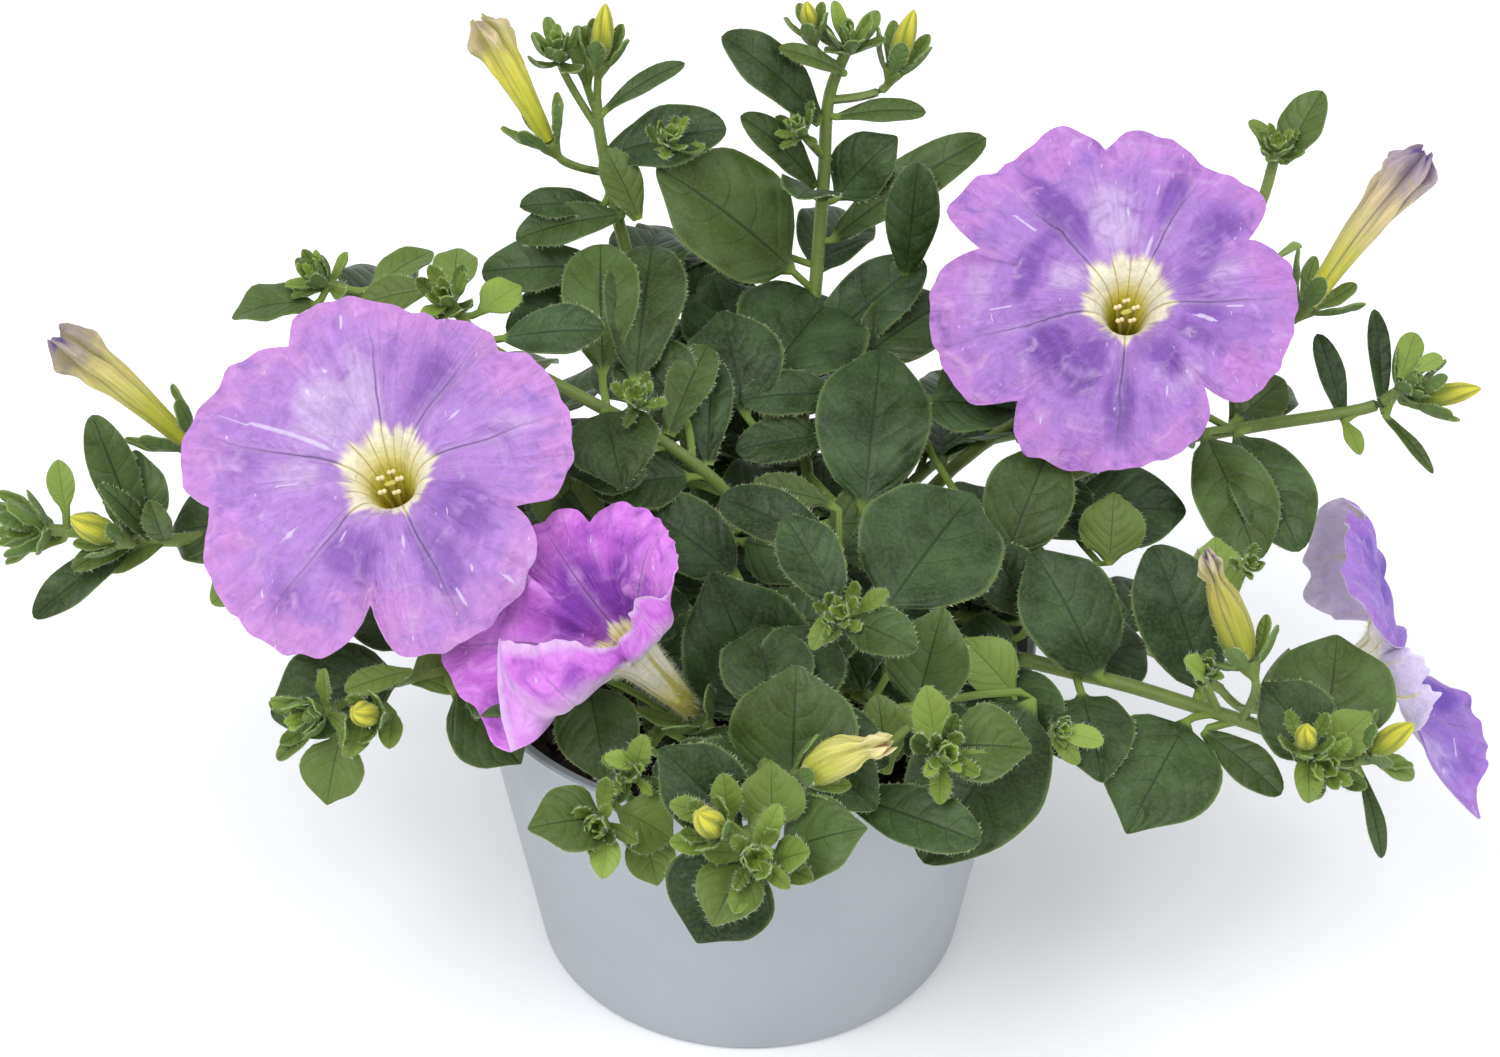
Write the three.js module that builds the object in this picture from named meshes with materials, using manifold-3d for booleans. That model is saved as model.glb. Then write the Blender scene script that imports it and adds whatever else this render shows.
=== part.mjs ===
// A petunia in full flower in its plastic nursery pot, about 32 cm across and 19 cm high.
// Millimetres, +Z up, origin at the centre of the pot's underside, -Y towards the viewer.
import * as THREE from 'three';
import { mergeVertices } from 'three/addons/utils/BufferGeometryUtils.js';
import Module from 'manifold-3d';

const wasm = await Module();
wasm.setup();

// The pot: a plain straight taper with a low outer lip and six drain holes
const POT_HEIGHT = 80;
const POT_RIM_RADIUS = 60;
const POT_FOOT_RADIUS = 47;
const POT_WALL = 1.3;
const POT_FLOOR = 1.6;
const LIP_HEIGHT = 3;
const LIP_WIDTH = 0.9;
const POT_SIDES = 28;
const DRAIN_HOLES = 6;
const DRAIN_RADIUS = 4;
const DRAIN_RING = 28;

// The soil: it fills the pot to a finger's width under the rim
const SOIL_TOP = 70;
const SOIL_CROWN = 73;
const SOIL_SIDES = 20;

// Clearance between a piece and its neighbour
const GAP = 0.32;

// Blades
const LEAF_THICK = 0.7;
const PETAL_THICK = 0.8;
const LEAF_ARCH = 0.07;
const LEAF_FOLD = 0.22;
const STALK_HALF = 0.8;
const SHORT_STALK = 6;

// Stems
const STEM_SIDES = 4;
const STEM_STEPS = 6;
const FLOWER_STALK_RADIUS = 0.9;

// Flower cups: the ring that the sepals stand on
const CUP_RADIUS = 2.9;
const CUP_THICK = 0.8;

const TOWARDS_VIEWER = [0, -0.5, 0.87];
const STRAIGHT_UP = [0, 0, 1];
const AWAY = [0, 0.35, 0.94];

// Where each leafy stem runs and what grows on it.
// leaf(place on the stem from 0 to 1, foot of the blade or null where it sits on the stem, tip, width)
// tuft(place on the stem, centre, direction, radius)
// cup(place on the stem, seat of the flower or bud, direction, sepal length, spread in degrees)
const leaf = (at, foot, tip, wide, fold = LEAF_FOLD) => ({ at, foot, tip, wide, fold });
const tuft = (at, centre, heading, radius) => ({ at, centre, heading, radius });
const cup = (at, seat, heading, sepal, spread) => ({ at, seat, heading, sepal, spread });

const SHOOTS = [
  {
    name: 'shoot_front', thick: 1.6, face: TOWARDS_VIEWER,
    path: [[0, -14, 61], [3, -42, 92], [3, -70, 104], [1, -88, 105], [1, -100, 106]],
    leaves: [
      leaf(0.25, null, [-8, -32, 120], 27),
      leaf(0.42, [8, -72, 100], [9, -60, 119], 25),
      leaf(0.78, [-2, -88, 102], [-17, -82, 117], 17),
      leaf(0.78, [4, -88, 102], [4, -82, 114], 13),
      leaf(0.85, [6, -88, 96], [22, -92, 106], 17),
      leaf(0.8, [-1, -88, 97], [-10, -98, 82], 22),
      leaf(0.9, [-1, -98, 103], [-7, -110, 98], 13),
      leaf(0.95, [4, -98, 102], [11, -104, 111], 8),
    ],
    tufts: [tuft(1, [1, -100, 106], [0, -0.8, 0.6], 9)],
    cups: [cup(0.65, [10, -80, 108], [0.85, -0.15, 0.5], 8, 40), cup(0.85, [-6, -97, 110], [-0.5, -0.4, 0.8], 6, 30)],
  },
  {
    name: 'shoot_front_left', thick: 1.5, face: TOWARDS_VIEWER,
    path: [[-6, -12, 61], [-14, -34, 85], [-21, -54, 92], [-26, -70, 96], [-29, -82, 98]],
    leaves: [
      leaf(0.3, [-32, -46, 102], [-28, -64, 92], 17),
      leaf(0.95, [-28, -80, 97], [-42, -88, 102], 14),
      leaf(0.8, [-25, -76, 96], [-15, -78, 90], 13),
      leaf(0.7, [-21, -74, 90], [-18, -80, 80], 10),
    ],
    tufts: [tuft(1, [-29, -82, 98], [-0.1, -0.8, 0.5], 7)],
    cups: [cup(0.38, [-10, -46, 94], [-0.56, -0.14, 0.82], 12, 34)],
  },
  {
    name: 'shoot_front_right', thick: 1.6, face: TOWARDS_VIEWER,
    path: [[8, -12, 61], [16, -30, 88], [28, -52, 101], [35, -64, 104], [37, -72, 107]],
    leaves: [
      leaf(0.85, [36, -66, 103], [34, -60, 114], 8),
      leaf(0.9, [38, -68, 105], [54, -72, 108], 16),
      leaf(0.3, [27, -60, 93], [25, -52, 105], 9),
      leaf(0.5, [56, -44, 95], [34, -76, 82], 28),
      leaf(0.62, [19, -70, 94], [44, -84, 95], 13),
      leaf(0.5, [33, -50, 100], [38, -42, 119], 17),
      leaf(0.3, null, [14, -34, 102], 12),
    ],
    tufts: [tuft(1, [37, -72, 107], [0.1, -0.7, 0.6], 8)],
    cups: [],
  },
  {
    name: 'shoot_left_front', thick: 1.5, face: TOWARDS_VIEWER,
    path: [[-12, -8, 61], [-30, -24, 90], [-52, -36, 98], [-68, -41, 100], [-78, -46, 99], [-85, -51, 99]],
    leaves: [
      leaf(0.62, [-70, -42, 101], [-96, -44, 93], 20),
      leaf(0.85, [-81, -53, 95], [-84, -60, 83], 13),
      leaf(0.6, [-68, -41, 99], [-54, -34, 98], 12),
      leaf(0.5, [-59, -44, 99], [-46, -50, 85], 18),
    ],
    tufts: [tuft(1, [-85, -51, 99], [-0.6, -0.7, 0.4], 10)],
    cups: [cup(0.8, [-74, -54, 101], [-0.5, -0.6, 0.6], 5, 35)],
  },
  {
    name: 'shoot_left', thick: 1.6, face: TOWARDS_VIEWER,
    path: [[-14, 3, 61], [-34, 3, 88], [-70, 4, 92], [-108, 3, 101], [-122, 0, 103], [-138, 0, 105], [-148, 0, 106]],
    leaves: [
      leaf(0.45, [-105, 2, 106], [-122, 6, 100], 18),
      leaf(0.42, [-100, -4, 101], [-112, -10, 94], 10),
      leaf(0.72, null, [-128, 10, 119], 14),
      leaf(0.72, null, [-136, 10, 128], 10),
      leaf(0.67, null, [-135, -6, 100], 7),
      leaf(0.72, null, [-149, -12, 92], 9),
      leaf(0.9, [-144, 0, 103], [-157, 4, 103], 10),
    ],
    tufts: [tuft(1, [-148, 0, 106], [-0.9, -0.3, 0.3], 9)],
    cups: [
      cup(0.32, [-70, -6, 111], [-0.08, -0.5, 0.86], 12, 40),
      cup(0.48, [-118, 13, 119], [-0.67, 0.12, 0.73], 11, 32),
      cup(0.75, [-131, -7, 109], [-0.72, -0.25, 0.64], 7, 28),
    ],
  },
  {
    name: 'shoot_right_front', thick: 1.6, face: TOWARDS_VIEWER,
    path: [[12, -4, 61], [42, -18, 87], [70, -30, 91], [90, -38, 90], [104, -43, 88], [112, -48, 86], [114, -54, 88]],
    leaves: [
      leaf(0.38, [71, -32, 93], [58, -14, 111], 21),
      leaf(0.2, [57, -21, 99], [49, -8, 109], 14),
      leaf(0.5, [92, -36, 92], [82, -16, 114], 20),
      leaf(0.55, [88, -42, 89], [75, -62, 77], 25),
      leaf(0.6, [92, -42, 86], [106, -56, 82], 9),
      leaf(0.8, [116, -44, 84], [120, -24, 97], 26),
      leaf(0.8, [115, -46, 84], [103, -38, 96], 17),
      leaf(0.9, [116, -50, 88], [124, -46, 95], 10),
      leaf(0.5, [95, -22, 104], [95, -12, 113], 11),
    ],
    tufts: [tuft(1, [114, -54, 88], [0, -0.7, 0.6], 8)],
    cups: [
      cup(0.6, [99, -42, 105], [-0.4, 0.42, 0.82], 9, 48),
      cup(0.9, [110, -55, 94], [-0.1, -0.3, 0.95], 6, 35),
      cup(0.95, [124, -50, 88], [0.72, 0, 0.69], 7, 38),
    ],
  },
  {
    name: 'shoot_right_low', thick: 1.4, face: TOWARDS_VIEWER,
    path: [[11, -9, 61], [34, -32, 81], [50, -42, 86], [58, -48, 88], [61, -52, 96]],
    leaves: [
      leaf(0.55, [53, -36, 92], [43, -30, 101], 12),
    ],
    tufts: [tuft(1, [61, -52, 96], [0.4, -0.6, 0.5], 4)],
    cups: [],
  },
  {
    name: 'shoot_right', thick: 1.5, face: TOWARDS_VIEWER,
    path: [[14, 6, 61], [42, 14, 92], [80, 25, 107], [105, 30, 110], [130, 30, 115], [137, 30, 119], [139, 30, 122]],
    leaves: [
      leaf(0.5, [97, 24, 112], [106, -2, 99], 18),
      leaf(0.52, [104, 26, 111], [115, 0, 100], 18),
      leaf(0.5, [104, 34, 108], [116, 44, 113], 12),
    ],
    tufts: [tuft(1, [139, 30, 122], [0.8, -0.2, 0.4], 6)],
    cups: [cup(0.9, [143, 30, 118], [0.93, -0.15, 0.32], 8, 32)],
  },
  {
    name: 'shoot_right_back', thick: 1.5, face: STRAIGHT_UP,
    path: [[12, 11, 61], [42, 34, 94], [76, 54, 108], [100, 62, 128], [110, 66, 142], [114, 72, 154]],
    leaves: [
      leaf(1, [116, 72, 151], [124, 80, 164], 11),
      leaf(0.7, [112, 56, 133], [118, 52, 142], 7),
      leaf(0.55, [90, 66, 118], [98, 86, 122], 18),
      leaf(0.42, [66, 56, 104], [58, 82, 104], 20),
      leaf(0.3, [52, 44, 100], [72, 62, 92], 18),
    ],
    tufts: [tuft(1, [114, 72, 154], [0, -0.3, 0.95], 6)],
    cups: [cup(0.42, [80, 44, 121], [-0.05, -0.58, 0.81], 12, 40), cup(0.62, [119, 42, 134], [0.6, 0.25, 0.76], 11, 42)],
  },
  {
    name: 'shoot_right_hidden', thick: 1.5, face: STRAIGHT_UP,
    path: [[14, -1, 61], [40, -6, 86], [72, -9, 86], [92, -9, 76], [100, -9, 70]],
    leaves: [
      leaf(0.3, null, [48, 18, 98], 18),
      leaf(0.55, null, [88, 14, 80], 18),
      leaf(0.75, null, [104, 8, 62], 16),
      leaf(0.4, null, [66, 10, 90], 16),
    ],
    tufts: [],
    cups: [cup(1, [110, -9, 66], [0.9, 0.05, 0.42], 11, 34)],
  },
  {
    name: 'shoot_centre', thick: 1.5, face: TOWARDS_VIEWER,
    path: [[6, -3, 61], [12, -12, 90], [17, -28, 108], [18, -47, 121]],
    leaves: [
      leaf(1, [17, -44, 121], [7, -30, 132], 13),
      leaf(1, [19, -46, 119], [32, -58, 121], 11),
      leaf(0.7, [27, -32, 110], [46, -4, 118], 30),
      leaf(0.68, [17, -26, 121], [-6, -12, 123], 12),
      leaf(0.55, [16, -4, 116], [0, -2, 118], 8),
    ],
    tufts: [tuft(1, [18, -47, 121], [-0.1, -0.6, 0.8], 6)],
    cups: [],
  },
  {
    name: 'shoot_inner_left', thick: 1.5, face: TOWARDS_VIEWER,
    path: [[-3, -3, 61], [-6, -12, 84], [-5, -22, 90], [-2, -30, 91]],
    leaves: [
      leaf(0.5, [-38, 0, 104], [-37, 6, 118], 15),
      leaf(0.6, [-23, -4, 102], [-40, 2, 113], 12),
      leaf(0.75, [-3, -12, 103], [-23, 0, 112], 17),
    ],
    tufts: [],
    cups: [],
  },
  {
    name: 'shoot_inner_right', thick: 1.5, face: TOWARDS_VIEWER,
    path: [[10, 2, 61], [34, 6, 90], [58, 9, 98], [70, 10, 101]],
    leaves: [
      leaf(0.55, [38, 26, 120], [57, 22, 120], 19, 0.75),
      leaf(0.6, [53, -6, 103], [63, 12, 119], 19),
      leaf(0.9, [67, 8, 104], [92, 10, 103], 19),
      leaf(0.9, [75, -3, 100], [76, 6, 111], 14),
    ],
    tufts: [],
    cups: [],
  },
  {
    name: 'shoot_centre_back', thick: 1.5, face: TOWARDS_VIEWER,
    path: [[4, 9, 61], [11, 16, 88], [12, 28, 104], [6, 36, 114]],
    leaves: [
      leaf(0.6, [24, 9, 105], [28, 38, 125], 25),
      leaf(1, [4, 37, 119], [18, 62, 122], 30),
      leaf(0.65, [20, 32, 117], [-2, 25, 121], 11),
      leaf(0.8, [17, 22, 114], [-3, 18, 113], 11),
      leaf(0.7, [24, 46, 117], [44, 60, 123], 18),
    ],
    tufts: [],
    cups: [],
  },
  {
    name: 'shoot_centre_left', thick: 1.5, face: TOWARDS_VIEWER,
    path: [[-5, 6, 61], [-7, 9, 92], [-4, 8, 107], [-17, 9, 121], [-38, 15, 131], [-55, 25, 135], [-63, 34, 140]],
    leaves: [
      leaf(0.6, [-31, 24, 129], [-32, 53, 142], 17),
      leaf(0.55, [-24, 22, 128], [-21, 55, 140], 18),
      leaf(0.85, [-51, 25, 137], [-30, 19, 143], 12),
      leaf(0.62, [-30, 11, 128], [-26, -8, 122], 20),
      leaf(0.5, [-17, 11, 122], [-9, 32, 130], 10),
      leaf(0.42, [-9, 10, 115], [-8, 32, 127], 10),
      leaf(0.95, [-57, 38, 135], [-49, 46, 136], 9),
      leaf(1, [-68, 42, 138], [-83, 42, 134], 9),
      leaf(1, [-63, 42, 137], [-63, 56, 139], 10),
    ],
    tufts: [tuft(0.58, [-23, 8, 133], [0, -0.5, 0.85], 6), tuft(1, [-63, 34, 140], [-0.2, -0.5, 0.8], 8)],
    cups: [],
  },
  {
    name: 'shoot_back_left', thick: 1.5, face: STRAIGHT_UP,
    path: [[-12, 13, 61], [-42, 32, 98], [-72, 46, 120], [-86, 52, 130], [-92, 52, 133]],
    leaves: [
      leaf(0.95, [-94, 48, 130], [-111, 44, 129], 14),
      leaf(0.9, [-81, 50, 133], [-69, 61, 135], 10),
      leaf(0.7, null, [-80, 76, 120], 18),
      leaf(0.5, null, [-62, 64, 96], 18),
      leaf(0.6, null, [-88, 34, 104], 16),
    ],
    tufts: [tuft(1, [-92, 52, 133], [-0.4, -0.3, 0.85], 8)],
    cups: [],
  },
  {
    name: 'shoot_back_left_tall', thick: 1.5, face: TOWARDS_VIEWER,
    path: [[-5, 15, 61], [-14, 42, 98], [-27, 61, 136], [-32, 70, 157], [-33, 73, 166]],
    leaves: [
      leaf(0.74, [-31, 68, 155], [-5, 66, 163], 15),
      leaf(0.62, [-32, 64, 145], [-49, 54, 151], 8),
      leaf(0.56, [-28, 60, 145], [-50, 52, 144], 10),
      leaf(0.6, [-24, 58, 146], [-31, 66, 158], 9),
      leaf(0.38, [-32, 52, 137], [-58, 56, 133], 13),
      leaf(0.45, null, [-20, 80, 128], 18),
      leaf(0.3, null, [-34, 66, 104], 18),
    ],
    tufts: [tuft(0.8, [-41, 76, 175], [-0.1, -0.1, 1], 8)],
    cups: [cup(0.66, [-43, 64, 161], [-0.5, 0.12, 0.85], 9, 36), cup(0.95, [-32, 74, 175], [0.12, 0.1, 1], 8, 22)],
  },
  {
    name: 'shoot_back_tall', thick: 1.6, face: TOWARDS_VIEWER,
    path: [[5, 17, 61], [11, 46, 96], [14, 60, 122], [16, 72, 146], [17, 78, 163], [21, 80, 175]],
    leaves: [
      leaf(0.76, [15, 76, 159], [-6, 72, 182], 13),
      leaf(0.6, [14, 72, 145], [-2, 68, 165], 9),
      leaf(0.5, [18, 66, 135], [51, 72, 157], 12),
      leaf(0.56, [19, 72, 142], [32, 76, 155], 15),
      leaf(0.58, [15, 70, 143], [10, 46, 158], 13),
      leaf(0.42, [9, 60, 131], [-20, 62, 156], 28),
      leaf(0.35, [34, 60, 130], [36, 64, 156], 12),
      leaf(0.3, null, [38, 62, 132], 16),
      leaf(0.45, null, [22, 88, 128], 18),
    ],
    tufts: [tuft(1, [21, 80, 175], [0, -0.2, 1], 9)],
    cups: [cup(0.8, [31, 78, 171], [0.3, 0.12, 0.95], 9, 30), cup(0.92, [13, 80, 179], [-0.15, 0, 1], 5, 25)],
  },
  {
    name: 'shoot_side_left', thick: 1.4, face: AWAY,
    path: [[-17, 9, 61], [-50, 26, 86], [-84, 36, 84], [-103, 41, 80]],
    leaves: [
      leaf(0.3, null, [-38, 46, 100], 20),
      leaf(0.5, null, [-58, 56, 92], 20),
      leaf(0.6, null, [-86, 14, 82], 17),
      leaf(0.75, null, [-92, 60, 78], 18),
      leaf(1, null, [-124, 46, 72], 17),
    ],
    tufts: [tuft(1, [-103, 41, 80], [-0.8, 0.3, 0.4], 7)],
    cups: [],
  },
  {
    name: 'shoot_behind_left', thick: 1.4, face: AWAY,
    path: [[-12, 20, 61], [-36, 48, 86], [-60, 74, 86], [-72, 89, 79]],
    leaves: [
      leaf(0.28, null, [-10, 54, 100], 20),
      leaf(0.35, null, [-52, 42, 104], 18),
      leaf(0.5, null, [-22, 74, 94], 20),
      leaf(0.6, null, [-76, 58, 84], 18),
      leaf(0.75, null, [-46, 98, 80], 19),
      leaf(1, null, [-88, 104, 66], 18),
    ],
    tufts: [tuft(1, [-72, 89, 79], [-0.5, 0.7, 0.4], 7)],
    cups: [],
  },
  {
    name: 'shoot_behind', thick: 1.4, face: AWAY,
    path: [[-1, 22, 61], [2, 52, 87], [6, 80, 89], [8, 97, 83]],
    leaves: [
      leaf(0.26, null, [-20, 44, 98], 18),
      leaf(0.38, null, [26, 58, 100], 20),
      leaf(0.5, null, [30, 78, 94], 20),
      leaf(0.65, null, [-18, 90, 86], 19),
      leaf(0.8, null, [32, 98, 80], 19),
      leaf(1, null, [0, 118, 66], 18),
    ],
    tufts: [tuft(1, [8, 97, 83], [0.1, 0.8, 0.4], 7)],
    cups: [],
  },
  {
    name: 'shoot_behind_right', thick: 1.4, face: AWAY,
    path: [[14, 19, 61], [38, 46, 86], [66, 66, 84], [83, 78, 77]],
    leaves: [
      leaf(0.28, null, [18, 60, 98], 18),
      leaf(0.36, null, [62, 40, 102], 18),
      leaf(0.5, null, [42, 80, 90], 20),
      leaf(0.6, null, [76, 44, 84], 17),
      leaf(0.78, null, [66, 94, 74], 18),
      leaf(1, null, [104, 86, 64], 18),
    ],
    tufts: [tuft(1, [83, 78, 77], [0.6, 0.6, 0.4], 7)],
    cups: [],
  },
];

// The open flowers: notches are [angle, distance from the axis] between two lobes, and lobes are
// [distance of the lobe's tip, its lift over the throat], starting after the first notch
const OPEN_FLOWERS = [
  {
    name: 'left', seat: [-70, -6, 111], heading: [-0.08, -0.5, 0.86], right: [1, 0, 0], tube: 26, mouth: 7.5,
    notches: [[51, 35], [75, 35], [126, 37], [190, 36], [266, 29], [344, 28]],
    lobes: [[37, -2], [43, -1], [45, -2], [44, -4], [40, -2], [39, 0]],
  },
  {
    name: 'right', seat: [80, 44, 121], heading: [-0.05, -0.58, 0.81], right: [1, 0, 0], tube: 26, mouth: 7.5,
    notches: [[29, 30], [96, 35], [157, 33], [222, 31], [310, 25]],
    lobes: [[40, 0], [46, -1], [45, -2], [38, -2], [37, 0]],
  },
  {
    name: 'half_open', seat: [-10, -46, 94], heading: [-0.56, -0.14, 0.82], right: [1, 0, 0.68], tube: 25, mouth: 6,
    notches: [[20, 16], [85, 23], [145, 25], [205, 26], [285, 13]],
    lobes: [[25, 9], [28, 14], [36, 5], [27, 5], [17, 7]],
  },
  {
    name: 'far_right', seat: [110, -9, 66], heading: [0.9, 0.05, 0.42], right: [0, -1, 0], tube: 25, mouth: 7.5,
    notches: [[35, 27], [107, 26], [179, 26], [251, 27], [323, 26]],
    lobes: [[35, 11], [36, 6], [35, 3], [34, 4], [36, 6]],
  },
];

// The spent flowers: closed yellow tubes whose limbs have shrivelled
const SPENT_FLOWERS = [
  { name: 'left', seat: [-118, 13, 119], tip: [-143, 17, 143], radius: 4.6 },
  { name: 'back_left', seat: [-43, 64, 161], tip: [-57, 70, 187], radius: 4.2 },
  { name: 'right', seat: [119, 42, 134], tip: [142, 52, 166], radius: 4.8 },
  { name: 'right_front', seat: [99, -42, 105], tip: [90, -31, 124], radius: 4.4 },
  { name: 'front', seat: [10, -80, 108], tip: [26, -83, 119], radius: 3.8 },
];

const BUDS = [
  { name: 'left', seat: [-131, -7, 109], tip: [-139, -9, 116], radius: 3 },
  { name: 'left_front', seat: [-74, -54, 101], tip: [-77.5, -58.5, 106], radius: 2.6 },
  { name: 'front', seat: [-6, -97, 110], tip: [-9.5, -101, 118], radius: 2.8 },
  { name: 'right_front', seat: [110, -55, 94], tip: [109, -57.5, 101.5], radius: 2.2 },
  { name: 'right_front_outer', seat: [124, -50, 88], tip: [132, -50, 95.5], radius: 2.6 },
  { name: 'right', seat: [143, 30, 118], tip: [155, 28, 122], radius: 2.4 },
  { name: 'back', seat: [31, 78, 171], tip: [35, 80, 184], radius: 2.4 },
  { name: 'back_inner', seat: [13, 80, 179], tip: [12, 80, 186], radius: 1.8 },
  { name: 'back_left', seat: [-32, 74, 175], tip: [-30.5, 75.5, 188], radius: 2.4 },
];

const MATERIALS = {
  pot: new THREE.MeshStandardMaterial({ color: 0xb4babf, roughness: 0.5, metalness: 0 }),
  soil: new THREE.MeshStandardMaterial({ color: 0x2a211b, roughness: 1, metalness: 0 }),
  foliage: new THREE.MeshStandardMaterial({ color: 0x4c6b3c, roughness: 0.75, metalness: 0 }),
  petal: new THREE.MeshStandardMaterial({ color: 0xb996e1, roughness: 0.6, metalness: 0 }),
  magenta: new THREE.MeshStandardMaterial({ color: 0xc06bd0, roughness: 0.6, metalness: 0 }),
  spent: new THREE.MeshStandardMaterial({ color: 0xc8bd7a, roughness: 0.7, metalness: 0 }),
  bud: new THREE.MeshStandardMaterial({ color: 0xc8c328, roughness: 0.6, metalness: 0 }),
  stamen: new THREE.MeshStandardMaterial({ color: 0xe0d68a, roughness: 0.7, metalness: 0 }),
};

const vec = (p) => new THREE.Vector3(...p);
const along = (origin, direction, distance) => origin.clone().addScaledVector(direction, distance);
const mix = (a, b, t) => a + (b - a) * t;

// The part of a direction that stands square to an axis, at unit length
function squareTo(axis, direction) {
  return direction.clone().addScaledVector(axis, -direction.dot(axis)).normalize();
}

// Joining and cutting

function solidOf(geometry) {
  const plain = geometry.clone();
  plain.deleteAttribute('normal');
  plain.deleteAttribute('uv');
  const merged = mergeVertices(plain, 1e-5);
  const corners = Array.from(merged.index.array);
  const kept = [];
  for (let i = 0; i < corners.length; i += 3) {
    const [a, b, c] = corners.slice(i, i + 3);
    if (a !== b && b !== c && c !== a) kept.push(a, b, c);
  }
  return new wasm.Manifold(new wasm.Mesh({
    numProp: 3,
    vertProperties: new Float32Array(merged.attributes.position.array),
    triVerts: new Uint32Array(kept),
  }));
}

const joined = (solids) => wasm.Manifold.union(solids);

// Whether the boxes around two solids meet
function meets(a, b) {
  const p = a.boundingBox();
  const q = b.boundingBox();
  return [0, 1, 2].every((k) => p.min[k] < q.max[k] && q.min[k] < p.max[k]);
}

function cutBy(solid, cutters) {
  const near = cutters.filter((cutter) => meets(solid, cutter));
  return near.length ? solid.subtract(joined(near)) : solid;
}

// The largest body of a solid that a cut has parted
function largestOf(solid) {
  const bodies = solid.decompose();
  return bodies.reduce((best, body) => (body.volume() > best.volume() ? body : best));
}

// A sheet of even thickness over a grid of columns and rows. pointAt(column, row) gives a corner's
// place and the direction of its thickness. Corners in one place become one, and both faces have
// the same triangles.
function sheet(columns, rows, thick, pointAt) {
  const grid = new THREE.PlaneGeometry(1, 1, columns, rows);
  const { position, normal } = grid.attributes;
  for (let i = 0; i < position.count; i += 1) {
    const { at, up } = pointAt(i % (columns + 1), Math.floor(i / (columns + 1)));
    position.setXYZ(i, at.x, at.y, at.z);
    normal.setXYZ(i, up.x, up.y, up.z);
  }
  grid.deleteAttribute('uv');
  const face = mergeVertices(grid, 1e-4);
  const count = face.attributes.position.count;
  const places = [];
  [thick / 2, -thick / 2].forEach((offset) => {
    for (let i = 0; i < count; i += 1) {
      const at = new THREE.Vector3().fromBufferAttribute(face.attributes.position, i);
      places.push(at.addScaledVector(new THREE.Vector3().fromBufferAttribute(face.attributes.normal, i), offset));
    }
  });
  const index = [];
  const hem = new Map();
  for (let i = 0; i < face.index.count; i += 3) {
    const [a, b, c] = [0, 1, 2].map((k) => face.index.getX(i + k));
    if (a === b || b === c || c === a) continue;
    index.push(a, b, c, c + count, b + count, a + count);
    [[a, b], [b, c], [c, a]].forEach(([p, q]) => {
      if (!hem.delete(`${q},${p}`)) hem.set(`${p},${q}`, [p, q]);
    });
  }
  hem.forEach(([p, q]) => index.push(q, p, p + count, q, p + count, q + count));
  const geometry = new THREE.BufferGeometry().setFromPoints(places);
  geometry.setIndex(index);
  return solidOf(geometry);
}

// A round rod along a curve
function rod(curve, radius, steps = STEM_STEPS, sides = STEM_SIDES) {
  const section = new THREE.Shape();
  for (let i = 0; i < sides; i += 1) {
    const turn = (2 * Math.PI * i) / sides;
    section[i ? 'lineTo' : 'moveTo'](radius * Math.cos(turn), radius * Math.sin(turn));
  }
  section.closePath();
  return solidOf(new THREE.ExtrudeGeometry(section, { steps, extrudePath: curve, bevelEnabled: false }));
}

// A turned shape on an axis: the profile is [radius, distance along the axis]
function turned(profile, sides, seat, heading) {
  const geometry = new THREE.LatheGeometry(profile.map(([r, h]) => new THREE.Vector2(r, h)), sides);
  const turn = new THREE.Quaternion().setFromUnitVectors(new THREE.Vector3(0, 1, 0), heading);
  geometry.applyQuaternion(turn).translate(seat.x, seat.y, seat.z);
  return solidOf(geometry);
}

// Leaves

// The rows across a blade: [share of its length, share of its half-width]
const BROAD_BLADE = [[0.12, 0.42], [0.4, 1], [0.75, 0.74]];
const MIDDLE_BLADE = [[0.28, 0.94], [0.66, 0.88]];
const SMALL_BLADE = [[0.46, 1]];

function bladeForm(long, wide) {
  if (wide > 22) return BROAD_BLADE;
  return long > 18 ? MIDDLE_BLADE : SMALL_BLADE;
}

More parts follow.
